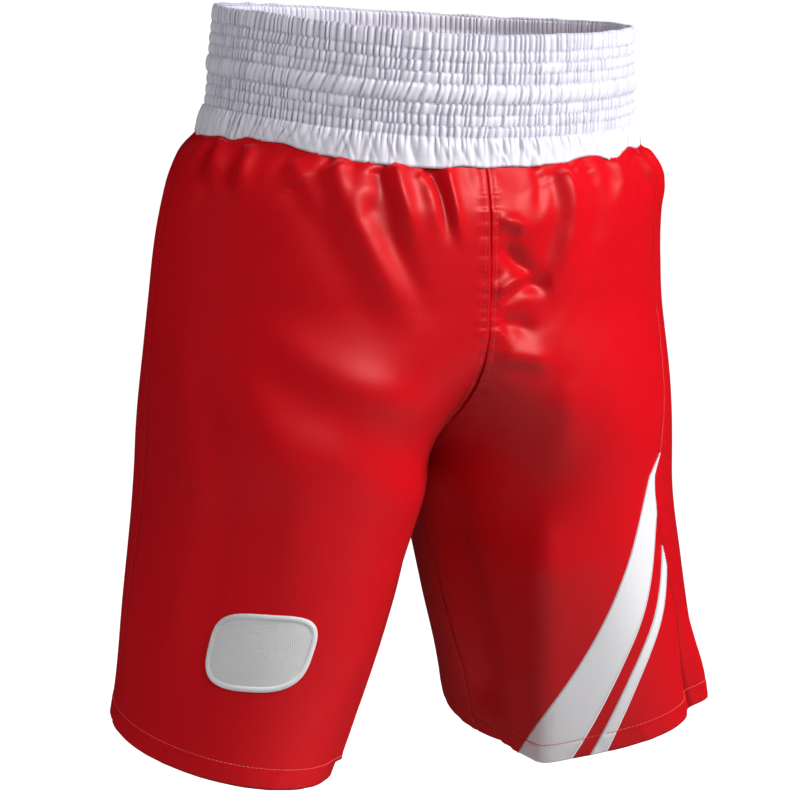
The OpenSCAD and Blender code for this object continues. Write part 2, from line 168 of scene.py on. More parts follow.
@dataclass(frozen=True)
class Block:
    """The garment's body block: the outer skin that every cloth piece follows, in metres."""

    row_heights: tuple[float, ...] = tuple(h * MM for h in (12.4, 7.8, 7.8, 7.8, 14.0, 7.8, 7.8, 7.8))
    channel_row: int = 4
    waist_half_w: float = 150 * MM
    waist_half_d: float = 108 * MM
    hip_half_w: float = 188 * MM
    hip_half_d: float = 132 * MM
    hip_drop: float = 190 * MM
    thigh_half_w: float = 194 * MM
    crease_h: float = 125 * MM
    soften: float = 8 * MM
    band_h: float = -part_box("waistband_casing")[0].z
    crotch_drop: float = -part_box("right_front_panel")[0].z
    body_len: float = -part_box("left_hem")[0].z
    legs: dict[Side, LegCut] = field(
        default_factory=lambda: {
            Side.RIGHT: LegCut(66 * MM, 219 * MM, 128 * MM, 8.0, 6 * MM, 23 * MM, 0.5, 5 * MM, 0.0),
            Side.LEFT: LegCut(54 * MM, 216 * MM, 124 * MM, 12.0, 7 * MM, 42 * MM, 0.325, -5 * MM, 17 * MM)})
    WEIGHTS = (1, 2, 4, 6, 7, 8, 7, 6, 4, 2, 1)

    @property
    def rows_h(self) -> float:
        """Height of the shirred rows together."""
        return sum(self.row_heights)

    @property
    def row_tops(self) -> list[float]:
        """Drop of each row's upper seam."""
        return [sum(self.row_heights[:i]) for i in range(len(self.row_heights) + 1)]

    def _lookup(self, s: Array, table: Sequence[tuple[float, float]]) -> Array:
        """Value at a drop, softened over a length that grows below the gathers."""
        xs, ys = zip(*table)
        reach = self.soften * (1 + 4 * smooth_step(s, self.band_h + 20 * MM, self.band_h + 70 * MM))
        return sum(np.interp(s + k * reach / 4, xs, ys) * w
                   for k, w in enumerate(self.WEIGHTS, -5)) / sum(self.WEIGHTS)

    def _girth(self, s: Array, waist: float, grow: float, flare: float, hip: float, short: float,
               thigh: float) -> Array:
        """Half a width or depth of the body at a drop.

        Args:
            s: Drops below the rim.
            waist: Half size at the rim.
            grow: How much more at the foot of the rows.
            flare: How much more at the foot of the band.
            hip: Half size at the hips.
            short: How much less just under the gathers.
            thigh: Half size from the crotch down.

        Returns:
            Half sizes.
        """
        skirt = waist + flare
        return self._lookup(s, [
            (0, waist), (self.rows_h, waist + grow), (self.band_h, skirt),
            (self.band_h + 14 * MM, (skirt + hip) / 2), (self.band_h + 35 * MM, hip - short),
            (self.hip_drop, hip), (self.crotch_drop, thigh), (self.body_len, thigh)])

    def half_width(self, s: Array) -> Array:
        """Half the body's width at a drop."""
        return self._girth(s, self.waist_half_w, 4 * MM, 9 * MM, self.hip_half_w, 7 * MM, self.thigh_half_w)

    def half_depth(self, s: Array) -> Array:
        """Half the body's depth at a drop."""
        hip = self.hip_half_d
        return self._girth(s, self.waist_half_d, 2 * MM, 4.5 * MM, hip, 4 * MM, hip - MM)

    def below_crotch(self, s: Array, ease: float) -> Array:
        """Share of the way from the crotch to the hem, starting gently over a length."""
        below = np.maximum(0.0, np.asarray(s) - self.crotch_drop)
        eased = np.where(below < ease, below ** 2 / (2 * ease), below - ease / 2)
        return eased / (self.body_len - self.crotch_drop - ease / 2)

    def skin(self, side: Side, s: Array, u: Array, out: Array | float = 0.0) -> Array:
        """Points on the block's skin.

        Args:
            side: Wearer's side.
            s: Drops below the rim.
            u: Turn shares, 0 at the centre front, 0.5 at the side and 1 at the centre back.
            out: Distance outwards in the section's plane.

        Returns:
            Points, one row for each drop.
        """
        cut = self.legs[side]
        s = np.asarray(s, float)
        t, split = self.below_crotch(s, 50 * MM), self.below_crotch(s, 24 * MM)
        flank = smooth_step(s, self.band_h, self.band_h + 70 * MM) * (
            1 - smooth_step(s, self.crotch_drop + 20 * MM, self.body_len - 50 * MM))
        w = cut.spread * flank + self.half_width(s) + (cut.hem_out - self.thigh_half_w) * t
        d = self.half_depth(s) * (1 - t) + cut.hem_half_d * t
        closed = np.clip((self.crotch_drop - s) / self.crease_h, 0.0, 1.0)
        opened = (1 - closed ** 2) ** 2
        mid = np.where(s < self.crotch_drop, opened * w / (1 + opened), (w + cut.hem_in * split) / 2)
        a, b = w - mid + out, d + out
        start = 1.5 * np.pi - np.arcsin(np.clip(mid / a, -1.0, 1.0))
        th = start + (4 * np.pi - 2 * start) * u
        x, y = a * np.cos(th), b * np.sin(th)
        toe = np.radians(cut.toe) * t
        across = mid + np.cos(toe) * x - np.sin(toe) * y
        ahead = np.sin(toe) * x + np.cos(toe) * y
        return np.stack([side.value * across, ahead, self.hang(side, s, across / w, ahead / d) - s], -1)

    def hang(self, side: Side, s: Array, across: Array, ahead: Array) -> Array:
        """How far the band rides up at the sides and sags at the front.

        Args:
            side: Wearer's side.
            s: Drops below the rim.
            across: Distances from the middle plane, as shares of half the width.
            ahead: Distances behind the middle, as shares of half the depth.

        Returns:
            Heights to add.
        """
        fade = 1 - smooth_step(s, self.band_h + 10 * MM, self.band_h + 110 * MM)
        down = np.clip(s / self.band_h, 0, 1)
        rim, join = (7.0 * MM, 14.0 * MM) if side is Side.RIGHT else (1.0 * MM, 10.0 * MM)
        up = rim + (join - rim) * down
        sag = (4.0 - 6.0 * down) * MM
        back = (3.5 - 4.5 * side.value * across) * MM
        front, rear = np.maximum(0.0, -ahead), np.maximum(0.0, ahead)
        return fade * (up * across ** 2 - sag * front ** 2 + back * rear ** 2)

    def hem_drop(self, side: Side, u: Array) -> Array:
        """Drop of the hem's edge at a turn share."""
        cut = self.legs[side]
        u = np.asarray(u)
        kicked = cut.kick * bell(u, 0.46, 0.09)
        return self.body_len - cut.lift - cut.rise * (1 - np.cos(2 * np.pi * u)) / 2 - kicked

    def normal(self, side: Side, s: Array, u: Array) -> Array:
        """Unit normals of the skin, outwards."""
        e, f = 0.5 * MM, 0.001
        lo, hi = np.clip(u - f, 0.0, 1.0), np.clip(u + f, 0.0, 1.0)
        across = self.skin(side, s, hi) - self.skin(side, s, lo)
        down = self.skin(side, s + e, u) - self.skin(side, s - e, u)
        return unit(np.cross(down, across) * side.value)

    def around(self, side: Side, u: Array) -> Array:
        """Position round the waist, from 0 to 1, starting at the centre back."""
        return 0.5 + side.value * np.asarray(u) / 2


BLOCK = Block()
HEM_ROW = 13 * MM


# ---------------------------------------------------------------- folds in the cloth


@dataclass(frozen=True)
class Fold:
    """A fold that a hand has left in the cloth along a short route.

    The route is a few (turn share, drop in millimetres) stops. A positive height is a ridge and a negative
    one a valley. crisp runs from 0 for a soft roll to 1 for a sharp crease, and hollow is the share of the
    height by which the cloth sinks beside it.
    """

    side: Side
    route: tuple[tuple[float, float], ...]
    height: float
    width: float
    crisp: float = 0.0
    hollow: float = 0.0
    fade: tuple[float, float] = (0.35, 0.35)

    def line(self, steps: int = 48) -> Array:
        """Points along the fold on the skin, on a smooth curve through its stops."""
        t, fine = (np.linspace(0, 1, n) for n in (len(self.route), steps))
        u, s = (np.polyval(np.polyfit(t, stops, len(stops) - 1), fine)
                for stops in np.array(self.route, float).T)
        return BLOCK.skin(self.side, s * MM, np.clip(u, 0, 1))

    def lift(self, points: Array, normals: Array) -> Array:
        """How far the fold pushes the cloth out at each point.

        Args:
            points: Points on the skin.
            normals: Their unit normals.

        Returns:
            Distances along the normals.
        """
        line = self.line()
        reach = self.width * MM * 5
        near = np.all((points > line.min(0) - reach) & (points < line.max(0) + reach), axis=-1)
        out = np.zeros(len(points))
        if not near.any():
            return out
        p = points[near]
        best = np.full(len(p), 1e9)
        along = np.zeros(len(p))
        off = np.zeros(len(p))
        for i in range(len(line) - 1):
            a, ab = line[i], line[i + 1] - line[i]
            t = np.clip(((p - a) @ ab) / max(ab @ ab, TINY), 0, 1)
            gap = p - (a + t[:, None] * ab)
            d = np.linalg.norm(gap, axis=1)
            closer = d < best
            best[closer] = d[closer]
            along[closer] = (i + t[closer]) / (len(line) - 1)
            off[closer] = np.einsum("ij,ij->i", gap, np.cross(unit(ab), normals[near]))[closer]
        w = self.width * MM
        soft = bell(best, 0.0, w)
        e = 0.35 * w
        tent = np.exp(-(np.sqrt(best ** 2 + e ** 2) - e) / w)
        shape = soft * (1 - self.crisp) + tent * self.crisp
        shape -= self.hollow * bell(off, 1.7 * w, 1.1 * w)
        first, last = (max(fade, 1e-3) for fade in self.fade)
        ends = smooth_step(along, 0.0, first) * (1 - smooth_step(along, 1 - last, 1.0))
        out[near] = self.height * MM * shape * ends
        return out


R, L = Side.RIGHT, Side.LEFT
HUNG, LONG = (0.05, 0.5), (0.1, 0.6)
FOLDS: tuple[Fold, ...] = (
    # Gathers that hang from the band on the right front
    Fold(R, ((0.405, 93), (0.395, 104), (0.36, 128)), 5.5, 6, 0.3, 0.5, fade=HUNG),
    Fold(R, ((0.345, 93), (0.335, 106), (0.318, 132)), 5.0, 6, 0.3, 0.4, fade=HUNG),
    Fold(R, ((0.128, 93), (0.108, 114), (0.085, 150)), 5.0, 6, 0.5, 0.7, fade=HUNG),
    Fold(R, ((0.082, 93), (0.058, 112), (0.052, 146)), -4.5, 4.5, 0.4, 0.4, fade=HUNG),
    Fold(R, ((0.055, 93), (0.046, 116), (0.03, 150)), 3.5, 4, 0.3, 0.4, fade=HUNG),
    Fold(R, ((0.211, 95), (0.17, 120), (0.12, 165), (0.07, 215)), 5.0, 13, 0.2, 0.5, fade=LONG),
    Fold(R, ((0.16, 110), (0.11, 150), (0.065, 196)), -4.0, 9, 0.0, 0.0, fade=(0.2, 0.6)),
    Fold(R, ((0.27, 98), (0.225, 116), (0.20, 140)), 2.2, 7, 0.2, 0.3, fade=LONG),
    # Pull lines across the front of the right leg, towards the crotch
    Fold(R, ((0.30, 190), (0.18, 230), (0.05, 262)), 3.2, 16, 0.0, 0.2),
    Fold(R, ((0.36, 230), (0.22, 290), (0.06, 330)), 2.4, 20, 0.0, 0.0),
    Fold(R, ((0.372, 170), (0.376, 290), (0.37, 400), (0.36, 480)), -3.2, 16, 0.0, 0.0),
    Fold(R, ((0.31, 170), (0.30, 290), (0.295, 400)), 2.0, 18, 0.0, 0.0),
    Fold(R, ((0.03, 330), (0.07, 420), (0.09, 505)), 3.5, 12, 0.3, 0.0, fade=(0.4, 0.02)),
    # Crumple at the crotch, beside the centre seam
    Fold(L, ((0.005, 140), (0.03, 150), (0.06, 166), (0.085, 172)), -6.0, 7, 0.2, 0.0),
    Fold(L, ((0.004, 178), (0.018, 170), (0.045, 163), (0.08, 170)), 4.2, 4.5, 0.5, 0.6),
    Fold(L, ((0.006, 131), (0.03, 128), (0.05, 138)), 4.0, 5, 0.4, 0.3),
    Fold(L, ((0.01, 198), (0.035, 194), (0.07, 205)), -4.0, 8, 0.1, 0.0),
    Fold(L, ((0.012, 222), (0.05, 216), (0.1, 226)), 3.0, 7, 0.3, 0.3),
    Fold(L, ((0.11, 96), (0.112, 124), (0.10, 150), (0.085, 196)), 4.2, 7, 0.7, 0.6, fade=HUNG),
    Fold(L, ((0.075, 93), (0.07, 110), (0.06, 130)), -3.2, 5, 0.2, 0.0, fade=HUNG),
    Fold(L, ((0.15, 95), (0.15, 130), (0.15, 190)), -3.0, 12, 0.1, 0.0, fade=LONG),
    Fold(L, ((0.225, 93), (0.215, 108), (0.19, 130)), 4.4, 6, 0.3, 0.4, fade=HUNG),
    Fold(L, ((0.30, 93), (0.31, 106), (0.33, 126)), 4.4, 6, 0.3, 0.4, fade=HUNG),
    Fold(L, ((0.38, 93), (0.385, 112), (0.40, 140)), 4.0, 7, 0.3, 0.4, fade=HUNG),
    Fold(L, ((0.10, 232), (0.14, 262), (0.16, 310)), 3.0, 14, 0.1, 0.0),
    # Hems kicked out beside the side seams
    Fold(L, ((0.352, 400), (0.350, 440), (0.345, 486)), 7.0, 9, 0.3, 0.5, fade=(0.8, 0.0)),
    Fold(L, ((0.330, 400), (0.328, 440), (0.325, 500)), -3.5, 8, 0.0, 0.0, fade=(0.7, 0.0)),
    Fold(R, ((0.585, 430), (0.60, 470), (0.615, 512)), 9.0, 13, 0.2, 0.5, fade=(0.75, 0.0)),
    # Ridge down the front of the left leg, where the cloth turns in
    Fold(L, ((0.172, 308), (0.168, 350), (0.148, 400), (0.102, 514)), 18.0, 23, 1.0, 0.0, fade=(0.5, 0.0)),
    Fold(L, ((0.055, 308), (0.05, 380), (0.03, 500)), -8.0, 22, 0.0, 0.0, fade=(0.4, 0.1)),
    # Flute at the outer side of the left hem
    Fold(L, ((0.400, 400), (0.392, 440), (0.385, 492)), -4.0, 11, 0.3, 0.0, fade=(0.8, 0.0)),
    Fold(L, ((0.46, 380), (0.45, 430), (0.435, 490)), 7.0, 13, 0.3, 0.0, fade=(0.8, 0.0)),
    # Flutes and drapes of the back, and of the sides
    Fold(R, ((0.93, 93), (0.92, 125), (0.90, 165)), 4.5, 8, 0.3, 0.4, fade=HUNG),
    Fold(R, ((0.80, 93), (0.79, 112), (0.77, 150)), 4.5, 8, 0.3, 0.4, fade=HUNG),
    Fold(R, ((0.66, 93), (0.65, 112), (0.63, 140)), 4.0, 8, 0.3, 0.4, fade=HUNG),
    Fold(R, ((0.90, 290), (0.80, 330), (0.66, 350)), 4.0, 15, 0.1, 0.3),
    Fold(R, ((0.94, 262), (0.84, 290), (0.72, 296)), 4.0, 12, 0.2, 0.3),
    Fold(R, ((0.78, 330), (0.77, 420), (0.775, 515)), 6.0, 20, 0.2, 0.3, fade=(0.5, 0.0)),
    Fold(R, ((0.60, 360), (0.61, 430), (0.615, 506)), -6.0, 18, 0.1, 0.0, fade=(0.6, 0.0)),
    Fold(L, ((0.92, 93), (0.915, 120), (0.89, 160)), 4.5, 8, 0.3, 0.4, fade=HUNG),
    Fold(L, ((0.78, 93), (0.77, 118), (0.76, 150)), 4.5, 8, 0.3, 0.4, fade=HUNG),
    Fold(L, ((0.63, 93), (0.62, 112), (0.60, 145)), 4.0, 8, 0.3, 0.4, fade=HUNG),
    Fold(L, ((0.91, 280), (0.80, 322), (0.64, 345)), 4.0, 15, 0.1, 0.3),
    Fold(L, ((0.94, 256), (0.85, 282), (0.74, 290)), 4.0, 12, 0.2, 0.3),
    Fold(L, ((0.80, 330), (0.79, 420), (0.80, 510)), 6.0, 20, 0.2, 0.3, fade=(0.5, 0.0)),
    Fold(L, ((0.65, 360), (0.655, 430), (0.655, 500)), -6.0, 18, 0.1, 0.0, fade=(0.6, 0.0)),
)


class Drape:
    """Where the red cloth really lies: the block's skin with gathers, folds, puckers and hem ripples."""

    GATHERS = 46
    LONG_GATHERS = 25
    SIDE_GIRTH = 0.6
    INNER_GIRTH = 0.55

    def __init__(self) -> None:
        """Set up the seeded patterns."""
        self.small, self.tall, self.long = Ripple(3), Ripple(5), Ripple(8)
        self.pucker, self.edge, self.calm = Ripple(13), Ripple(21), Ripple(34)

    def gathers(self, side: Side, s: Array, u: Array) -> Array:
        """Gathers under the waist seam."""
        turn = BLOCK.around(side, u)
        below = np.maximum(0.0, s - BLOCK.band_h)
        wander = 0.6 * self.calm.line(below / (22 * MM) + 40 * turn)
        cell = turn * self.GATHERS + wander * smooth_step(below, 4 * MM, 40 * MM)
        bump = np.abs(np.sin(np.pi * cell + 1.2 * self.small.line(cell * 0.9, 512))) ** 1.3
        size = 0.55 + 0.45 * self.tall.line(turn * 23, 23)
        fine = 3.6 * MM * size * (bump - 0.5) * np.exp(-below / (17 * MM)) * (
            0.35 + 0.65 * smooth_step(below, 0.0, 8 * MM))
        cell = turn * self.LONG_GATHERS + 0.8 * wander
        size = 0.5 + 0.5 * self.calm.line(turn * 17, 17)
        roll = self.long.line(cell, self.LONG_GATHERS * 4)
        return fine + 5.0 * MM * size * roll * np.exp(-below / (48 * MM)) * smooth_step(below, 0.0, 16 * MM)

    def seam_puckers(self, side: Side, s: Array, u: Array, skin: Array) -> Array:
        """Short puckers and the groove beside the centre, side and inner seams."""
        from_middle = np.abs(skin[..., 0])
        above = 1 - smooth_step(s, BLOCK.crotch_drop - 25 * MM, BLOCK.crotch_drop)
        ripple = self.pucker.line(s / (3.1 * MM) + 90 * (u > 0.5))
        centre = above * (0.6 * MM * ripple * bell(from_middle, 4.5 * MM, 4.2 * MM)
                          - 0.35 * MM * bell(from_middle, 4 * MM, 0.8 * MM)
                          + 0.3 * MM * bell(from_middle, 2.2 * MM, 1.5 * MM))
        side_ripple = self.pucker.line(s / (6.5 * MM) + 33.0)

        def seam(distance: Array, groove: float) -> Array:
            """Puckers and groove at a distance from a seam."""
            return 0.25 * MM * side_ripple * bell(distance, 0.0, 7 * MM) - groove * bell(distance, 0.0, MM)

        flank = seam((u - BLOCK.legs[side].seam) * self.SIDE_GIRTH, 0.45 * MM)
        below = smooth_step(s, BLOCK.crotch_drop, BLOCK.crotch_drop + 15 * MM)
        return centre + flank + below * seam(np.minimum(u, 1 - u) * self.INNER_GIRTH, 0.7 * MM)

    def hem_ripples(self, side: Side, s: Array, u: Array) -> Array:
        """Slight ripples between the hem's stitching and its edge, and the step at the stitching."""
        up = BLOCK.hem_drop(side, u) - s
        slant = u * 0.64 / (8 * MM) + up / (16 * MM)
        inside = 1 - smooth_step(up, 11 * MM, 15 * MM)
        row = bell(up, HEM_ROW, 0.9 * MM)
        return 0.35 * MM * self.edge.line(slant) * inside - 0.45 * MM * row + 0.35 * MM * inside

    def lift(self, side: Side, s: Array, u: Array, skin: Array, normal: Array) -> Array:
        """Distance of the cloth from the skin, outwards."""
        flat, up = skin.reshape(-1, 3), normal.reshape(-1, 3)
        total = np.zeros(len(flat))
        for fold in FOLDS:
            if fold.side is side:
                total += fold.lift(flat, up)
        total = total.reshape(s.shape)
        swell = 1.2 * MM * self.calm.plane(u * 7 + 11 * side.value, s / (60 * MM)) * smooth_step(
            s, BLOCK.band_h, BLOCK.band_h + 60 * MM)
        sway = smooth_step(s, BLOCK.crotch_drop, BLOCK.body_len)
        flute = 3.0 * MM * sway * np.sin(2 * np.pi * (3 * u + 0.1 * side.value))
        tack = smooth_step(s, BLOCK.band_h, BLOCK.band_h + 7 * MM)
        return (total * (0.3 + 0.7 * tack) + swell + flute + self.gathers(side, s, u)
                + self.seam_puckers(side, s, u, skin) + self.hem_ripples(side, s, u))

    def cloth(self, side: Side, s: Array, u: Array, out: float = 0.0) -> Array:
        """Points on the cloth, or at a distance outside it.

        Args:
            side: Wearer's side.
            s: Drops below the rim.
            u: Turn shares.
            out: Distance outside the cloth, inwards when negative.

        Returns:
            Points, one for each drop and share.
        """
        s, u = np.broadcast_arrays(np.asarray(s, float), np.asarray(u, float))
        skin, normal = BLOCK.skin(side, s, u), BLOCK.normal(side, s, u)
        push = (self.lift(side, s, u, skin, normal) + out)[..., None] * normal
        push[..., 0] *= 1 - bell(skin[..., 0], 0.0, 5 * MM)
        moved = skin + push
        moved[..., 0] = side.value * np.maximum(side.value * moved[..., 0], 0.0)
        return moved

    def frame_at(self, side: Side, s: Array, u: Array, du: Array, ds: Array) -> tuple[Array, Array, Array]:
        """Cloth points with the directions along a route and out of the cloth.

        Args:
            side: Wearer's side.
            s: Drops below the rim.
            u: Turn shares.
            du: Change of share along the route, for a small step.
            ds: Change of drop along the route, for the same step.

        Returns:
            Points, unit directions along the route and unit normals.
        """
        here = self.cloth(side, s, u)
        along = self.cloth(side, s + ds, u + du) - here
        e, f = 0.8 * MM, 0.003
        across = self.cloth(side, s, np.clip(u + f, 0, 1)) - self.cloth(side, s, np.clip(u - f, 0, 1))
        down = self.cloth(side, s + e, u) - self.cloth(side, s - e, u)
        return here, unit(along), unit(np.cross(down, across) * side.value)

    def over(self, side: Side, s: Array, u: Array, out: float) -> tuple[Array, Array]:
        """Points at a distance along the cloth's own normals, with the normals."""
        zero = np.zeros_like(u)
        here, _, up = self.frame_at(side, s, u, zero + 0.001, zero)
        return here + up * out, up


DRAPE = Drape()


# ---------------------------------------------------------------- meshes


def new_piece(name: str, points: Array, faces: Iterable[Sequence[int]],
              uv: Array | None = None) -> bpy.types.Object:
    """A smooth-shaded mesh object at the origin.

    Args:
        name: Name of the piece.
        points: Vertices, in metres.
        faces: Faces as vertex numbers.
        uv: One pair for each vertex, in metres along the cloth.

    Returns:
        The new object, linked to the scene.
    """
    mesh = bpy.data.meshes.new(name)
    mesh.from_pydata(np.asarray(points).reshape(-1, 3).tolist(), [], [tuple(f) for f in faces])
    mesh.polygons.foreach_set("use_smooth", np.ones(len(mesh.polygons), bool))
    if uv is not None:
        layer = mesh.uv_layers.new(name="cloth")
        corner = np.empty(len(mesh.loops), np.int32)
        mesh.loops.foreach_get("vertex_index", corner)
        layer.data.foreach_set("uv", np.asarray(uv, np.float32).reshape(-1, 2)[corner].ravel())
    mesh.update()
    piece = bpy.data.objects.new(name, mesh)
    bpy.context.scene.collection.objects.link(piece)
    return piece


def grid_faces(n: int, m: int, wrap: bool = False, first: int = 0, flip: bool = False) -> Array:
    """Quads of an n by m grid of vertices.

    Args:
        n: Count of rows.
        m: Vertices in each row.
        wrap: Whether the last row joins the first.
        first: Number of the grid's first vertex.
        flip: Whether the faces turn the other way.

    Returns:
        One row of four vertex numbers for each quad.
    """
    i, j = np.meshgrid(np.arange(n if wrap else n - 1), np.arange(m - 1), indexing="ij")
    k = (i + 1) % n
    quads = np.stack([i * m + j, i * m + j + 1, k * m + j + 1, k * m + j], -1).reshape(-1, 4) + first
    return quads[:, ::-1] if flip else quads


def grid_normals(points: Array, wrap: bool = False) -> Array:
    """Unit normals of a grid of points, on the side of axis 1 crossed with axis 0."""
    along = (np.roll(points, -1, 0) - np.roll(points, 1, 0)) if wrap else np.gradient(points, axis=0)
    return unit(np.cross(np.gradient(points, axis=1), along))


def cloth_lengths(points: Array) -> Array:
    """Length across and down the cloth at each point of a grid, for its UV map."""
    across, down = (np.insert(np.cumsum(np.linalg.norm(np.diff(points, axis=i), axis=-1), i), 0, 0.0, i)
                    for i in (0, 1))
    return np.stack([across - across[len(across) // 2], np.broadcast_to(down.mean(0), down.shape)], -1)


def thick_sheet(name: str, outer: Array, thickness: float, out_sign: int,
                wrap: bool = False) -> bpy.types.Object:
    """A closed thin sheet under a grid of outer points.

    Args:
        name: Name of the piece.
        outer: Grid of points on the outer face.
        thickness: Distance to the inner face.
        out_sign: 1 or -1, so that the grid's own normals point outwards.
        wrap: Whether the grid's first axis closes on itself.

    Returns:
        The piece, with a UV map in metres.
    """
    n, m = outer.shape[:2]
    normal = grid_normals(outer, wrap) * out_sign
    inner = outer - normal * thickness
    uv = cloth_lengths(outer)
    points = np.concatenate([outer.reshape(-1, 3), inner.reshape(-1, 3)])
    flip = out_sign > 0
    faces = [grid_faces(n, m, wrap, 0, not flip), grid_faces(n, m, wrap, n * m, flip)]
    rim = np.arange(n if wrap else n - 1)
    nxt = (rim + 1) % n
    k = n * m
    lower = np.stack([rim * m + m - 1, nxt * m + m - 1, k + nxt * m + m - 1, k + rim * m + m - 1], -1)
    upper = np.stack([rim * m, k + rim * m, k + nxt * m, nxt * m], -1)
    faces += [side[:, ::-1] if flip else side for side in (lower, upper)]
    if not wrap:
        j = np.arange(m - 1)
        start = np.stack([j, j + 1, k + j + 1, k + j], -1)
        last = (n - 1) * m
        end = np.stack([last + j, k + last + j, k + last + j + 1, last + j + 1], -1)
        faces += [side[:, ::-1] if flip else side for side in (start, end)]
    both = np.concatenate([uv.reshape(-1, 2)] * 2)
    return new_piece(name, points, np.concatenate(faces).tolist(), both)


# ---------------------------------------------------------------- finishes


class Graph:
    """Adds nodes to a tree and joins them."""

    def __init__(self, tree: bpy.types.NodeTree) -> None:
        """Take the tree to work on."""
        self.tree = tree

    def fill(self, node: bpy.types.Node, inputs: dict[str | int, Any]) -> bpy.types.Node:
        """Set a node's inputs: a socket is linked, and anything else becomes the default value."""
        for key, value in inputs.items():
            if isinstance(value, bpy.types.NodeSocket):
                self.tree.links.new(value, node.inputs[key])
            else:
                node.inputs[key].default_value = value
        return node

    def add(self, kind: str, inputs: dict[str | int, Any] | None = None, **settings: Any) -> bpy.types.Node:
        """Add a node with its settings and inputs.

        Args:
            kind: Type of the node.
            inputs: Sockets or values for its inputs.
            settings: Properties of the node.

        Returns:
            The node.
        """
        node = self.tree.nodes.new(kind)
        for key, value in settings.items():
            setattr(node, key, value)
        return self.fill(node, inputs or {})

    def math(self, operation: str, *values: Any) -> bpy.types.NodeSocket:
        """Result of a maths node on sockets or numbers."""
        return self.add("ShaderNodeMath", dict(enumerate(values)), operation=operation).outputs[0]


@dataclass(frozen=True)
class ClothFinish:
    """Colour and surface of one cloth or thread, as shader settings."""

    name: str
    colour: tuple[float, float, float]
    deep: tuple[float, float, float]
    roughness: float = 0.36
    rough_spread: float = 0.06
    sheen: float = 0.25
    sheen_tint: tuple[float, float, float] = (1.0, 1.0, 1.0)
    specular: float = 0.5
    specular_tint: tuple[float, float, float] = (1.0, 1.0, 1.0)
    # groove: colour and strength of painted shade laid into the pleats' grooves through the groove attribute
    groove: tuple[float, float, float, float] = (0.0, 0.0, 0.0, 0.0)
    anisotropy: float = 0.0
    weave_pitch: float = 0.55 * MM
    weave_depth: float = 0.10
    slub: float = 0.12
    stain: float = 0.35

    def build(self) -> bpy.types.Material:
        """Make the node material: weave, slubs, tonal variation, uneven gloss and, where a groove colour is
        set, painted shade in the grooves.

        Returns:
            The material.
        """
        material = bpy.data.materials.new(self.name)
        material.use_nodes = True
        graph = Graph(material.node_tree)
        coords = graph.add("ShaderNodeTexCoord").outputs

        def noise(source: str, stretch: tuple[float, float, float], scale: float) -> bpy.types.NodeSocket:
            """A noise texture over stretched coordinates."""
            mapping = graph.add("ShaderNodeMapping", {"Vector": coords[source], "Scale": stretch})
            return graph.add("ShaderNodeTexNoise", {
                "Vector": mapping.outputs["Vector"], "Scale": scale, "Detail": 2.0}).outputs["Fac"]

        def mix(factor: Any, a: Any, b: Any, blend: str = "MIX") -> bpy.types.NodeSocket:
            """Two colours mixed by a share."""
            return graph.add("ShaderNodeMix", {"Factor": factor, "A": a, "B": b}, data_type="RGBA",
                             blend_type=blend).outputs["Result"]

        def ribs(direction: str, pitch: float) -> bpy.types.NodeSocket:
            """Fine parallel threads across the UV map."""
            return graph.add("ShaderNodeTexWave", {
                "Vector": coords["UV"], "Scale": math.pi / (10 * pitch), "Distortion": 0.6},
                bands_direction=direction).outputs["Fac"]

        broad, slubs = noise("Object", (1, 1, 0.6), 9.0), noise("UV", (6.0, 0.35, 1.0), 260.0)
        areas = graph.add("ShaderNodeMapRange", {"Value": broad, "From Min": 0.32, "From Max": 0.68})
        stain = graph.math("MULTIPLY", areas.outputs["Result"], self.stain)
        surface = mix(stain, (*self.colour, 1.0), (*self.deep, 1.0))
        surface = mix(self.slub, surface, slubs, "MULTIPLY")
        # Painted shade: the groove attribute mixes the colour towards the groove colour, a dark lilac grey,
        # where the pleats sink
        *shade, strength = self.groove
        if strength > 0:
            deep = graph.add("ShaderNodeAttribute", attribute_name="groove").outputs["Fac"]
            surface = mix(graph.math("MULTIPLY", deep, strength), surface, (*shade, 1.0))
        low, high = self.roughness - self.rough_spread, self.roughness + self.rough_spread
        gloss = graph.add("ShaderNodeMapRange", {"Value": slubs, "To Min": low, "To Max": high})
        weave = graph.math("ADD", ribs("X", self.weave_pitch), ribs("Y", self.weave_pitch * 1.6))
        bump = graph.add("ShaderNodeBump", {
            "Height": graph.math("MULTIPLY_ADD", slubs, 1.4, weave), "Strength": self.weave_depth,
            "Distance": 0.12 * MM})
        graph.fill(material.node_tree.nodes["Principled BSDF"], {
            "Base Color": surface, "Roughness": gloss.outputs["Result"], "Normal": bump.outputs["Normal"],
            "Specular IOR Level": self.specular, "Specular Tint": (*self.specular_tint, 1.0),
            "Sheen Weight": self.sheen, "Sheen Roughness": 0.35, "Sheen Tint": (*self.sheen_tint, 1.0),
            "Anisotropic": self.anisotropy})
        return material


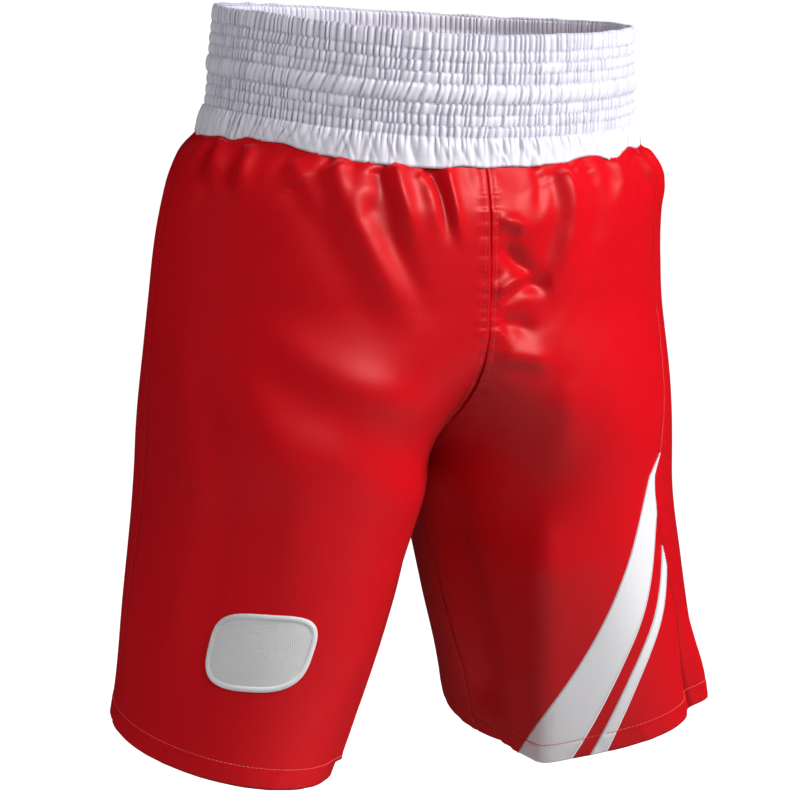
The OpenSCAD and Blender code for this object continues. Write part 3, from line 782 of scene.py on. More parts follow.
class Finishes:
    """Every finish of the shorts, built once."""

    def __init__(self) -> None:
        """Build the materials."""
        sewn = {"weave_pitch": 0.3 * MM, "weave_depth": 0.3}
        self.red = ClothFinish(
            "red_satin_cloth", (0.66, 0.003, 0.009), (0.50, 0.002, 0.007), 0.40, 0.05, 0.04, (1.0, 0.3, 0.3),
            0.85, (1.0, 0.42, 0.40), anisotropy=0.3, stain=0.5).build()
        self.lining = ClothFinish(
            "red_satin_back", (0.40, 0.008, 0.014), (0.30, 0.006, 0.012), 0.62, 0.08, 0.15, (1.0, 0.5, 0.5),
            0.3).build()
        self.red_thread = ClothFinish(
            "red_sewing_thread", (0.72, 0.035, 0.045), (0.55, 0.02, 0.03), 0.45, 0.05, 0.3, (1.0, 0.6, 0.6),
            0.4, **sewn).build()
        self.hem_thread = ClothFinish(
            "coral_hem_thread", (0.80, 0.14, 0.12), (0.7, 0.1, 0.09), 0.5, 0.05, 0.2, (1.0, 0.7, 0.7), 0.4,
            **sewn).build()
        # The white satin's groove colour is painted shade, laid dark lilac grey into the waistband's grooves
        self.white = ClothFinish(
            "white_satin_cloth", (0.77, 0.755, 0.84), (0.70, 0.685, 0.79), 0.32, 0.05, 0.15,
            (0.95, 0.93, 1.0), 0.5, groove=(0.30, 0.27, 0.42, 0.9), anisotropy=0.3, slub=0.05,
            stain=0.25).build()
        self.white_thread = ClothFinish(
            "white_sewing_thread", (0.78, 0.77, 0.83), (0.66, 0.65, 0.72), 0.5, 0.05, 0.2, **sewn).build()
        self.trim = ClothFinish(
            "white_applied_satin", (0.80, 0.79, 0.81), (0.70, 0.69, 0.72), 0.42, 0.05, 0.15,
            weave_pitch=0.45 * MM, weave_depth=0.16, slub=0.08, stain=0.2).build()
        self.patch = ClothFinish(
            "patch_twill", (0.74, 0.74, 0.75), (0.62, 0.62, 0.64), 0.55, 0.06, 0.3, weave_pitch=0.8 * MM,
            weave_depth=0.5, slub=0.2, stain=0.2).build()
        self.patch_thread = ClothFinish(
            "patch_border_thread", (0.83, 0.83, 0.84), (0.7, 0.7, 0.72), 0.38, 0.05, 0.3, **sewn).build()
        self.elastic = ClothFinish(
            "waist_elastic", (0.72, 0.70, 0.64), (0.6, 0.58, 0.52), 0.75, 0.05, 0.3, weave_pitch=1.1 * MM,
            weave_depth=0.8, slub=0.2).build()
        self.label = ClothFinish(
            "label_tape_cloth", (0.78, 0.78, 0.76), (0.7, 0.7, 0.68), 0.5, 0.05, 0.1, weave_pitch=0.5 * MM,
            weave_depth=0.3, slub=0.1).build()


# ---------------------------------------------------------------- stitches


class StitchTree:
    """Geometry Nodes that lay one bowed stitch of thread on every point of a run."""

    INPUTS = (("Stitch Length", "NodeSocketFloat"), ("Thread Radius", "NodeSocketFloat"),
              ("Bow", "NodeSocketFloat"), ("Thread", "NodeSocketMaterial"))

    def __init__(self) -> None:
        """Build the node group."""
        self.tree = bpy.data.node_groups.new("sewn_stitches", "GeometryNodeTree")
        face = self.tree.interface
        face.new_socket("Points", in_out="INPUT", socket_type="NodeSocketGeometry")
        for name, kind in self.INPUTS:
            face.new_socket(name, in_out="INPUT", socket_type=kind)
        face.new_socket("Stitches", in_out="OUTPUT", socket_type="NodeSocketGeometry")
        graph = Graph(self.tree)
        given = graph.add("NodeGroupInput").outputs

        def place(x: Any, z: Any) -> bpy.types.NodeSocket:
            """A point of the stitch in its own frame."""
            return graph.add("ShaderNodeCombineXYZ", {"X": x, "Z": z}).outputs[0]

        def read(name: str) -> bpy.types.NodeSocket:
            """A direction kept with the points."""
            return graph.add("GeometryNodeInputNamedAttribute", {"Name": name},
                             data_type="FLOAT_VECTOR").outputs["Attribute"]

        sunk = graph.math("MULTIPLY", given["Thread Radius"], -0.9)
        start, end = (place(graph.math("MULTIPLY", given["Stitch Length"], half), sunk)
                      for half in (-0.5, 0.5))
        middle = place(0.0, graph.math("MULTIPLY", given["Bow"], 2.0))
        arc = graph.add("GeometryNodeCurveQuadraticBezier", {
            "Resolution": 4, "Start": start, "Middle": middle, "End": end})
        circle = graph.add("GeometryNodeCurvePrimitiveCircle", {
            "Resolution": 5, "Radius": given["Thread Radius"]})
        tube = graph.add("GeometryNodeCurveToMesh", {
            "Fill Caps": True, "Curve": arc.outputs[0], "Profile Curve": circle.outputs[0]})
        directions = {"Primary Axis": read("up"), "Secondary Axis": read("along")}
        axes = graph.add("FunctionNodeAxesToRotation", directions, primary_axis="Z", secondary_axis="X")
        lay = graph.add("GeometryNodeInstanceOnPoints", {
            "Points": given["Points"], "Instance": tube.outputs[0], "Rotation": axes.outputs[0]})
        real = graph.add("GeometryNodeRealizeInstances", {0: lay.outputs[0]})
        dress = graph.add("GeometryNodeSetMaterial", {
            "Geometry": real.outputs[0], "Material": given["Thread"]})
        graph.add("NodeGroupOutput", {0: dress.outputs[0]})

    def sew(self, name: str, points: Array, along: Array, up: Array, length: float, radius: float,
            bow: float, thread: bpy.types.Material) -> bpy.types.Object:
        """Sew a run and bake it to a plain mesh.

        Args:
            name: Name of the piece.
            points: Middles of the stitches.
            along: Directions of the stitches.
            up: Directions out of the cloth.
            length: Length of a stitch.
            radius: Radius of the thread.
            bow: Height of a stitch's middle.
            thread: Material of the thread.

        Returns:
            The baked piece.
        """
        mesh = bpy.data.meshes.new(name + "_points")
        mesh.from_pydata(points.reshape(-1, 3).tolist(), [], [])
        for key, values in (("along", along), ("up", up)):
            layer = mesh.attributes.new(key, "FLOAT_VECTOR", "POINT")
            layer.data.foreach_set("vector", values.astype(np.float32).ravel())
        run = bpy.data.objects.new(name + "_run", mesh)
        bpy.context.scene.collection.objects.link(run)
        modifier = run.modifiers.new("stitches", "NODES")
        modifier.node_group = self.tree
        sockets = {i.name: i.identifier for i in self.tree.interface.items_tree if i.in_out == "INPUT"}
        for (key, _), value in zip(self.INPUTS, (length, radius, bow, thread)):
            modifier[sockets[key]] = value
        run.update_tag()
        graph = bpy.context.evaluated_depsgraph_get()
        graph.update()
        baked = bpy.data.meshes.new_from_object(run.evaluated_get(graph))
        run.modifiers.clear()
        bpy.data.objects.remove(run)
        baked.name = name
        for key in ("along", "up"):
            if key in baked.attributes:
                baked.attributes.remove(baked.attributes[key])
        baked.polygons.foreach_set("use_smooth", np.ones(len(baked.polygons), bool))
        piece = bpy.data.objects.new(name, baked)
        bpy.context.scene.collection.objects.link(piece)
        if not baked.materials:
            baked.materials.append(thread)
        return piece


def even_stops(route: Array, pitch: float) -> Array:
    """Fractional indexes along a dense route at an even spacing.

    Args:
        route: Points along the route.
        pitch: Wanted spacing.

    Returns:
        Indexes into the route, with fractions.
    """
    gaps = np.linalg.norm(np.diff(route, axis=0), axis=1)
    run = np.concatenate([[0.0], np.cumsum(gaps)])
    count = max(2, int(round(run[-1] / pitch)))
    return np.interp((np.arange(count) + 0.5) / count * run[-1], run, np.arange(len(route)))


@dataclass
class Seamstress:
    """Sews runs of stitches on the cloth."""

    tree: StitchTree
    finishes: Finishes

    def run(self, name: str, side: Side, s: Array, u: Array, pitch: float, thread: bpy.types.Material,
            radius: float = 0.22 * MM, fill: float = 0.78, out: float = 0.12 * MM,
            inner: bool = False) -> bpy.types.Object:
        """Sew one run that follows drops and turn shares over the red cloth.

        Args:
            name: Name of the piece.
            side: Wearer's side.
            s: Drops along the route.
            u: Turn shares along the route.
            pitch: Distance between stitches.
            thread: Material of the thread.
            radius: Radius of the thread.
            fill: Share of the pitch that a stitch covers.
            out: Height of the stitches over the cloth.
            inner: Whether the run lies on the inner face.

        Returns:
            The piece.
        """
        points, along, up = self.lay(side, s, u, pitch)
        if inner:
            up = -up
            out += PANEL_T
        return self.tree.sew(name, points + up * out, along, up, pitch * fill, radius, radius * 0.9, thread)

    @staticmethod
    def lay(side: Side, s: Array, u: Array, pitch: float) -> tuple[Array, Array, Array]:
        """Stops of a run on the cloth, with the directions along it and out of the cloth."""
        dense = DRAPE.cloth(side, s, u)
        stops = even_stops(dense, pitch)
        index = np.arange(len(s))
        ss, uu = np.interp(stops, index, s), np.interp(stops, index, u)
        du, ds = (np.interp(stops + 0.3, index, x) - np.interp(stops - 0.3, index, x) for x in (u, s))
        return DRAPE.frame_at(side, ss, uu, du, ds)

    def joined(self, name: str, runs: Sequence[tuple[Array, Array, Array]], pitch: float,
               thread: bpy.types.Material, radius: float = 0.22 * MM, fill: float = 0.78,
               out: float = 0.12 * MM) -> bpy.types.Object:
        """Sew several laid runs as one piece."""
        points, along, up = (np.concatenate([r[i] for r in runs]) for i in range(3))
        return self.tree.sew(name, points + up * out, along, up, pitch * fill, radius, radius * 0.9, thread)


# ---------------------------------------------------------------- panel thickness and baked placement

PANEL_T = 0.7 * MM


def bend_with_leg(piece: bpy.types.Object) -> None:
    """Bake a piece's placement into its mesh; the piece does not bend with the hips or the leg."""
    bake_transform(piece)


def finish_piece(piece: bpy.types.Object, material: bpy.types.Material | None, slot: str,
                 nodes: Sequence[str], body: str | None = None, leg: Side | None = None) -> bpy.types.Object:
    """Dress a piece, hide the CAD nodes that it stands for, and attach it to the body that it moves with or
    bake its placement for a leg.

    Args:
        piece: The finished piece.
        material: Its material, or None where it already has one.
        slot: Not used.
        nodes: CAD nodes that it stands for.
        body: Body that it rides on.
        leg: Leg that it goes with; its placement is baked into its mesh instead of riding a body.

    Returns:
        The piece.
    """
    if material is not None:
        piece.data.materials.clear()
        piece.data.materials.append(material)
    if nodes:
        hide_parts(*nodes)
    if leg is not None:
        bend_with_leg(piece)
    else:
        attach(piece, body)
    LOG.info("%s: %d faces", piece.name, len(piece.data.polygons))
    return piece


# ---------------------------------------------------------------- waistband


@dataclass
class Pleats:
    """Irregular pleats round the waist: cells of uneven width, each with its own height in every row."""

    count: int
    seed: int
    rows: int
    stops: tuple[float, ...] = (0.0, 0.11, 0.32, 0.52, 0.71, 0.89)
    uneven: float = 0.45
    shallow: float = 0.14

    def __post_init__(self) -> None:
        """Draw the cells."""
        rng = np.random.default_rng(self.seed)
        width = 1 + self.uneven * rng.uniform(-1, 1, self.count)
        self.edges = np.concatenate([[0.0], np.cumsum(width)]) / width.sum()
        self.peak = 0.5 + 0.17 * rng.uniform(-1, 1, (self.rows, self.count))
        self.size = 0.72 + 0.28 * rng.uniform(-1, 1, (self.rows, self.count)) * 0.9
        chance = rng.uniform(0, 1, (self.rows, self.count))
        filled = rng.uniform(0.3, 0.75, (self.rows, self.count))
        clear = 0.12 * rng.uniform(0, 1, (self.rows, self.count))
        self.groove = np.where(chance < self.shallow, filled, clear)

    def turns(self) -> Array:
        """Columns round the waist that catch every groove."""
        wide = np.diff(self.edges)[:, None]
        return (self.edges[:-1, None] + wide * np.array(self.stops)).ravel()

    def height(self, row: int, turn: Array, merge: float = 0.0) -> Array:
        """Height of the pleats, from 0 in a groove to about 1 on a ridge.

        Args:
            row: Row that the pleats are in.
            turn: Positions round the waist.
            merge: How far every second groove fills up, from 0 to 1.

        Returns:
            Heights.
        """
        turn = np.mod(turn, 1.0)
        cell = np.clip(np.searchsorted(self.edges, turn, side="right") - 1, 0, self.count - 1)
        t = (turn - self.edges[cell]) / (self.edges[cell + 1] - self.edges[cell])
        peak = self.peak[row, cell]
        ridge = 1 - np.abs((t - peak) / np.where(t < peak, peak, 1 - peak)) ** 2.2
        ends = [np.maximum(self.groove[row, i % self.count], merge * (i % 2)) for i in (cell, cell + 1)]
        base = ends[0] * (1 - t) + ends[1] * t
        sizes = self.size[row]
        left, right = sizes[cell - 1], sizes[(cell + 1) % self.count]
        own = sizes[cell]
        size = np.where(t < 0.5, (0.5 - t) * left + (0.5 + t) * own, (1.5 - t) * own + (t - 0.5) * right)
        return size * (base + (1 - base) * ridge)


@dataclass
class Waistband:
    """Shirred band: outer wall with the skirt, inner wall, elastics, threads and label."""

    finishes: Finishes
    seamstress: Seamstress
    pleat_depth: float = 2.3 * MM
    puff: float = 0.2 * MM
    channel_puff: float = 1.2 * MM
    wall_gap: float = 3.2 * MM

    def __post_init__(self) -> None:
        """Seed the pleats' patterns."""
        self.fine = Pleats(226, 41, 9)
        self.wide = Pleats(97, 43, 2, uneven=0.7, shallow=0.3)
        self.drift = [Ripple(151 + i) for i in range(10)]

    def pleat(self, row: int, turn: Array, v: float = 0.5) -> Array:
        """Height of the pleats across a row; in the channel, pairs of pleats run together and lean.

        Args:
            row: Row of shirring.
            turn: Positions round the waist.
            v: Share down the row.

        Returns:
            Heights.
        """
        channel = row == BLOCK.channel_row
        lean = 0.0035 if channel else 0.0010
        shifted = turn + 0.0009 * self.drift[row].line(turn * 30, 30)
        shifted += lean * (v - 0.5) * (1 + self.drift[row].line(turn * 38 + 7, 38))
        return self.fine.height(row, shifted, 0.8 * math.sin(math.pi * v) if channel else 0.0)

    def rows(self) -> list[tuple[float, float, float, int, float, float]]:
        """Stops down the band: (drop, skin offset, pleat share, row, puff, share down the row)."""
        stops: list[tuple[float, float, float, int, float, float]] = []
        fold = self.wall_gap / 2
        for a in np.linspace(math.pi, 0.12, 7):
            share = 0.5 + 0.3 * math.cos(a / 2)
            stops.append((fold * (1 - math.sin(a)), fold * (math.cos(a) - 1), share, 0, 0.0, 0.0))
        tops = BLOCK.row_tops
        for i, height in enumerate(BLOCK.row_heights):
            steps = (0.04, 0.11, 0.22, 0.36, 0.5, 0.64, 0.78, 0.89, 0.96) if height > 10 * MM else (
                0.05, 0.18, 0.38, 0.62, 0.82, 0.95)
            rise = self.channel_puff if i == BLOCK.channel_row else self.puff
            for v in steps:
                if i == 0 and v * height < fold:
                    continue
                env = 1 - abs(2 * v - 1) ** (3 if i else 5)
                if i == 0 and v < 0.5:
                    env = 0.85
                stops.append((tops[i] + v * height, 0.0, 0.60 + 0.40 * env, i, rise * env, v))
        return stops

    def skirt_lift(self, turn: Array, v: float) -> Array:
        """Gathers of the plain skirt: fine pleats that open into wider leaning folds.

        Args:
            turn: Positions round the waist, from 0 to 1.
            v: Share down the skirt.

        Returns:
            Distance outwards.
        """
        fine = self.pleat_depth * 0.8 * (1 - v) ** 2.2 * self.fine.height(8, turn)
        lean = turn + 0.008 * v * self.drift[3].line(turn * 11, 11)
        swell = math.sin(math.pi * min(1.0, 0.10 + 0.80 * v)) ** 0.7
        broad = 2.6 * MM * swell * self.wide.height(0, lean + 0.004 * v)
        cross = 1.2 * MM * swell * self.wide.height(1, turn + 0.004 - 0.010 * v)
        return fine + broad + cross + 0.6 * MM * math.sin(math.pi * v)

    def seam_wave(self, turn: Array) -> Array:
        """Wander of the waist seam up and down, where the gathers push against it."""
        return (1.6 * MM * self.drift[5].line(turn * 62, 62) + 2.4 * MM * self.drift[6].line(turn * 31, 31)
                + 0.8 * MM)

    @staticmethod
    def ring(turn: Array, s: Array | float, out: Array | float) -> Array:
        """Points round the waist at given drops and offsets along the skin's plan."""
        s, out = np.broadcast_to(s, turn.shape), np.broadcast_to(out, turn.shape)
        u = np.abs(turn - 0.5) * 2
        points = np.empty((len(turn), 3))
        for side in Side:
            here = (turn < 0.5) == (side is R)
            points[here] = BLOCK.skin(side, s[here], u[here], out[here])
        return points

    def outer(self) -> bpy.types.Object:
        """Outer wall, from the fold at the rim to the foot of the skirt."""
        turn = self.fine.turns() + 1e-7
        # low gathers the painted shade of each ring of vertices
        rings, low = [], []
        for s, out, share, row, puff, v in self.rows():
            wavy = 0.7 * MM * self.drift[7].line(turn * 64, 64) if s < 3 * MM else 0.0
            high = self.pleat(row, turn, v)
            lift = out + puff + self.pleat_depth * share * high
            rings.append(self.ring(turn, s + wavy, lift))
            # Painted shade: deeper in the grooves, plus a fixed share at the top and foot of each row, the
            # rim's fold included
            low.append(self.depth(high) + 0.25 * (abs(2 * v - 1) > 0.88))
        wave = self.seam_wave(turn)
        for v in np.linspace(0.04, 1.0, 11):
            s = BLOCK.rows_h + v * (BLOCK.band_h - BLOCK.rows_h)
            rings.append(self.ring(turn, s + wave * v, self.skirt_lift(turn, v)))
            # Painted shade in the skirt's grooves, fading down the skirt
            low.append(self.depth(self.fine.height(8, turn), 2.2) * (1 - v) ** 2)
        rings.append(self.ring(turn, BLOCK.band_h + wave - 0.6 * MM, -1.0 * MM))
        for s in (BLOCK.band_h - 3 * MM, BLOCK.rows_h, BLOCK.rows_h / 2, 2 * MM):
            rings.append(self.ring(turn, s, -0.75 * MM))
        points = np.stack(rings, 1)
        n, m = points.shape[:2]
        i, j = np.meshgrid(np.arange(n), np.arange(m), indexing="ij")
        k, j2 = (i + 1) % n, (j + 1) % m
        faces = np.stack([i * m + j, i * m + j2, k * m + j2, k * m + j], -1).reshape(-1, 4)
        girth = turn[:, None] * np.full((1, m), 1.25)
        down = np.concatenate([[0.0], np.cumsum(np.linalg.norm(np.diff(points, axis=1), axis=-1).mean(0))])
        uv = np.stack([girth, np.broadcast_to(down, girth.shape)], -1)
        piece = new_piece("waistband_outer", points, faces.tolist(), uv)
        low += [np.zeros(n)] * (m - len(low))
        self.paint_groove_shade(piece, np.stack(low, 1))
        return piece

    @staticmethod
    def depth(high: Array, steep: float = 1.7) -> Array:
        """How deep in a groove a height of the pleats lies, from 0 to 1: the share of painted shade there."""
        return np.clip(1 - steep * high, 0, 1)

    @staticmethod
    def paint_groove_shade(piece: bpy.types.Object, low: Array) -> None:
        """Keep each vertex's share of painted shade, by how deep in a groove it lies, for the cloth's colour.
        """
        layer = piece.data.attributes.new("groove", "FLOAT", "POINT")
        layer.data.foreach_set("value", np.asarray(low, np.float32).ravel())

    def inner(self) -> bpy.types.Object:
        """Inner wall, shirred more flatly than the outer one."""
        turn = np.mod(self.fine.turns() + 1e-7, 1.0)
        rings, low = [], []
        tops = BLOCK.row_tops
        for i, height in enumerate(BLOCK.row_heights):
            for v in np.linspace(0.12 if i == 0 else 0.0, 0.86, 6):
                env = 0.2 + 0.8 * math.sin(math.pi * v)
                high = self.fine.height(i, turn)
                # Painted shade in the inner wall's grooves
                low.append(self.depth(high))
                lift = -self.wall_gap - 0.2 * MM - 1.7 * MM * env * high
                rings.append(self.ring(turn, tops[i] + v * height, lift))
        for v in np.linspace(0.0, 1.0, 5):
            s = BLOCK.rows_h + v * (BLOCK.band_h - BLOCK.rows_h + 1 * MM)
            lift = -self.wall_gap - 0.3 * MM - 1.2 * MM * (1 - v) * self.pleat(8, turn)
            rings.append(self.ring(turn, s, lift))
        piece = thick_sheet("waistband_inner", np.stack(rings, 1)[::-1], 0.4 * MM, 1, wrap=True)
        low += [np.zeros(len(turn))] * (len(rings) - len(low))
        face = np.stack(low, 1)[::-1]
        self.paint_groove_shade(piece, np.stack([face, face]))
        return piece

    def threads(self) -> bpy.types.Object:
        """The eight rows of shirring stitches."""
        points, along, up = [], [], []
        pitch, girth = 3.1 * MM, 0.85
        count = int(girth / pitch)
        for i, s in enumerate(BLOCK.row_tops[1:], 1):
            turn = (np.arange(count) + 0.3 * (i % 3)) / count % 1.0
            lift = self.pleat_depth * 0.46 * self.pleat(min(i, 7), turn) + 0.25 * MM
            here, ahead = self.ring(turn, s, lift), self.ring((turn + 0.0008) % 1.0, s, lift)
            points.append(here)
            along.append(unit(ahead - here))
            up.append(np.cross(along[-1], (0, 0, 1.0)))
        outward, where = np.concatenate(up), np.concatenate(points)
        outward *= np.sign(np.einsum("ij,ij->i", outward[:, :2], where[:, :2]))[:, None]
        return self.seamstress.tree.sew("shirring_stitches", where, np.concatenate(along), outward,
                                        pitch * 0.72, 0.26 * MM, 0.3 * MM, self.finishes.white_thread)

    def seam_stitches(self) -> bpy.types.Object:
        """Overlock stitches along the waist seam, inside."""
        pitch, girth = 4.0 * MM, 0.87
        count = int(girth / pitch)
        here = self.ring(np.arange(count) / count, BLOCK.band_h + 2.2 * MM, -1.6 * MM)
        outward = unit(here * (-1.0, -1.0, 0.0))
        lean = unit(np.cross(outward, (0, 0, 1.0)) * 0.6 - (0.0, 0.0, 1.0))
        return self.seamstress.tree.sew("waist_seam_stitches", here, lean, outward, 4.2 * MM, 0.24 * MM,
                                        0.2 * MM, self.finishes.red_thread)

    def elastics(self) -> None:
        """Flat elastic rings between the walls, one in each row but the channel."""
        count = 160
        turn = (np.arange(count) + 0.5) / count
        rows = [i for i in range(len(BLOCK.row_heights)) if i != BLOCK.channel_row]
        for number, i in enumerate(rows, 1):
            top, foot = BLOCK.row_tops[i] + 1.2 * MM, BLOCK.row_tops[i + 1] - 1.2 * MM
            rings = [self.ring(turn, s, -1.0 * MM) for s in np.linspace(top, foot, 4)]
            ring = thick_sheet(f"elastic_ring_{number}", np.stack(rings, 1), 1.3 * MM, 1, wrap=True)
            finish_piece(ring, self.finishes.elastic, "band_elastic", [f"elastic_{number}"], "hips")

    def care_label(self) -> bpy.types.Object:
        """Blank folded tape that hangs inside the back."""
        half = 16 * MM
        drop, down = np.linspace(BLOCK.rows_h + 3 * MM, BLOCK.rows_h + 45 * MM, 22), np.linspace(0, 1, 22)
        x, drop = np.meshgrid(np.linspace(-half, half, 14), drop, indexing="ij")
        back = float(BLOCK.half_depth(np.array([BLOCK.rows_h]))[0]) - self.wall_gap - 3.2 * MM
        curl = 1.6 * MM * down * down * np.cos(2.2 * x / half)
        grid = np.stack([x, back - x * x * 4.0 - curl, -drop], -1)
        return thick_sheet("care_label_tape", grid, 0.35 * MM, 1)

    def build(self) -> bpy.types.Object:
        """Returns:
            The outer wall.
        """
        outer = finish_piece(self.outer(), self.finishes.white, "band_satin", ["waistband_casing"], "hips")
        inner = finish_piece(self.inner(), self.finishes.white, "band_satin", ["waistband_casing"], "hips")
        finish_piece(self.threads(), None, "band_thread", ["shirring_threads"], "hips")
        finish_piece(self.seam_stitches(), None, "red_thread", ["waist_seam_thread"], "hips")
        label = finish_piece(self.care_label(), self.finishes.label, "label_tape", ["care_label"], "hips")
        self.elastics()
        return outer


# ---------------------------------------------------------------- panels and hems


@dataclass
class Leg:
    """One side of the shorts: front and back panels, hem, seams and their stitches."""

    side: Side
    finishes: Finishes
    seamstress: Seamstress
    band: Waistband
    columns: int = 104
    rows: int = 300

    def shares(self, half: Half) -> Array:
        """Turn shares of a panel's columns, closer together beside the centre seam."""
        seam = BLOCK.legs[self.side].seam
        span = seam if half is Half.FRONT else 1 - seam
        count = int(round(2 * self.columns * span))
        t = np.linspace(0, 1, count + 1)
        eased = 0.5 * t + 0.5 * t ** 1.8
        return span * eased if half is Half.FRONT else 1 - span * eased[::-1]

    def panel(self, half: Half) -> bpy.types.Object:
        """One cut of satin from the waist seam to the folded hem edge."""
        u = self.shares(half)[:, None]
        t = np.linspace(0, 1, self.rows + 1)[None, :]
        turn = BLOCK.around(self.side, u)
        top = BLOCK.band_h + self.band.seam_wave(turn) - 0.4 * MM
        foot = BLOCK.hem_drop(self.side, u)
        s = top + (foot - top) * (0.85 * t + 0.15 * t * t)
        outer = DRAPE.cloth(self.side, s, np.broadcast_to(u, s.shape))
        tuck = BLOCK.skin(self.side, top - 2.5 * MM, u, -1.2 * MM)
        outer = np.concatenate([tuck, outer], 1)
        sign = 1 if self.side is Side.LEFT else -1
        return thick_sheet(f"{self.side.word}_{half.word}_satin", outer, PANEL_T, sign)

    def hem(self) -> bpy.types.Object:
        """The turned-up hem inside the leg, with its rounded folded edge."""
        n = 220
        u = np.arange(n) / n
        edge = BLOCK.hem_drop(self.side, u)
        rings = []
        for up, out in ((-0.25, -0.35), (-0.75, -0.9), (-0.25, -1.6), (2.0, -1.75), (6.0, -1.8),
                        (10.0, -1.75), (14.0, -1.7)):
            s = edge - up * MM
            rings.append(DRAPE.over(self.side, s, u, out * MM)[0])
        grid = np.stack(rings, 1)
        sign = -1 if self.side is Side.LEFT else 1
        return thick_sheet(f"{self.side.word}_turned_hem", grid, -0.5 * MM, sign, wrap=True)

    def hem_stitches(self) -> bpy.types.Object:
        """Topstitching round the hem."""
        u = np.linspace(0.001, 0.999, 400)
        s = BLOCK.hem_drop(self.side, u) - HEM_ROW
        points, along, up = Seamstress.lay(self.side, s, u, 3.0 * MM)
        lift = np.full(len(points), 0.2 * MM)
        if self.side is L:
            share = np.interp(even_stops(DRAPE.cloth(L, s, u), 3.0 * MM), np.arange(len(u)), u)
            for lo, hi in SweptBands(self.finishes, self.seamstress).hem_spans():
                lift[(share > lo) & (share < hi)] = 0.72 * MM
        name = f"{self.side.word}_hem_stitches"
        return self.seamstress.tree.sew(name, points + up * lift[:, None], along, up, 2.4 * MM, 0.24 * MM,
                                        0.2 * MM, self.finishes.hem_thread)

    def seam_stitches(self, name: str, share: float, first: float, last: float) -> bpy.types.Object:
        """Overlock stitches down a seam, on the inner face."""
        s = np.linspace(first, last, 120)
        return self.seamstress.run(name, self.side, s, np.full(len(s), share), 3.6 * MM,
                                   self.finishes.red_thread, radius=0.25 * MM, inner=True)

    def build(self) -> dict[Half, bpy.types.Object]:
        """Returns:
            The two panels.
        """
        word, body = self.side.word, f"{self.side.word}_leg"
        seam = BLOCK.legs[self.side].seam
        panels = {}
        for half in Half:
            nodes = [f"{word}_{half.word}_panel", f"{word}_{half.word}_leg", f"{word}_thigh_bend"]
            panel = finish_piece(self.panel(half), self.finishes.red, "red_satin", nodes, leg=self.side)
            panels[half] = panel
        hem = finish_piece(self.hem(), self.finishes.lining, "red_satin", [f"{word}_hem"], body)
        finish_piece(self.hem_stitches(), None, "red_thread", [f"{word}_hem_thread"], body)
        low = BLOCK.crotch_drop - 2 * MM
        foot_out, foot_in = (float(BLOCK.hem_drop(self.side, u)) - 16 * MM for u in (seam, 0.0))
        for run, share, first, last in (("hip_seam", seam, BLOCK.band_h + 4 * MM, low),
                                        ("side_seam", seam, low + 3 * MM, foot_out),
                                        ("inseam", 0.004, BLOCK.crotch_drop + 6 * MM, foot_in)):
            rides = {"body": "hips"} if run == "hip_seam" else {"leg": self.side}
            stitches = self.seam_stitches(f"{word}_{run}_stitches", share, first, last)
            finish_piece(stitches, None, "red_thread", [f"{word}_{run}_thread"], **rides)
        return panels


@dataclass
class RiseStitching:
    """Twin topstitching beside the centre seam, front and back."""

    finishes: Finishes
    seamstress: Seamstress
    twin_gap: float = 8 * MM

    def share(self, side: Side, s: Array, back: bool) -> Array:
        """Turn share of the stitch row at each drop."""
        grid = np.linspace(0, 0.12, 200)
        out = np.empty_like(s)
        for i, drop in enumerate(s):
            x = np.abs(BLOCK.skin(side, np.full(len(grid), drop), grid)[:, 0])
            out[i] = np.interp(self.twin_gap / 2, x, grid)
        return 1 - out if back else out

    def build(self) -> None:
        """Make both pieces."""
        s = np.linspace(BLOCK.band_h + 1.5 * MM, BLOCK.crotch_drop - 12 * MM, 220)
        for word, back in (("front", False), ("back", True)):
            runs = [Seamstress.lay(side, s, self.share(side, s, back), 3.4 * MM) for side in Side]
            piece = self.seamstress.joined(f"{word}_rise_stitches", runs, 3.4 * MM, self.finishes.red_thread,
                                           radius=0.3 * MM, out=0.1 * MM)
            finish_piece(piece, None, "red_thread", [f"{word}_rise_topstitch"], "hips")


# ---------------------------------------------------------------- trim


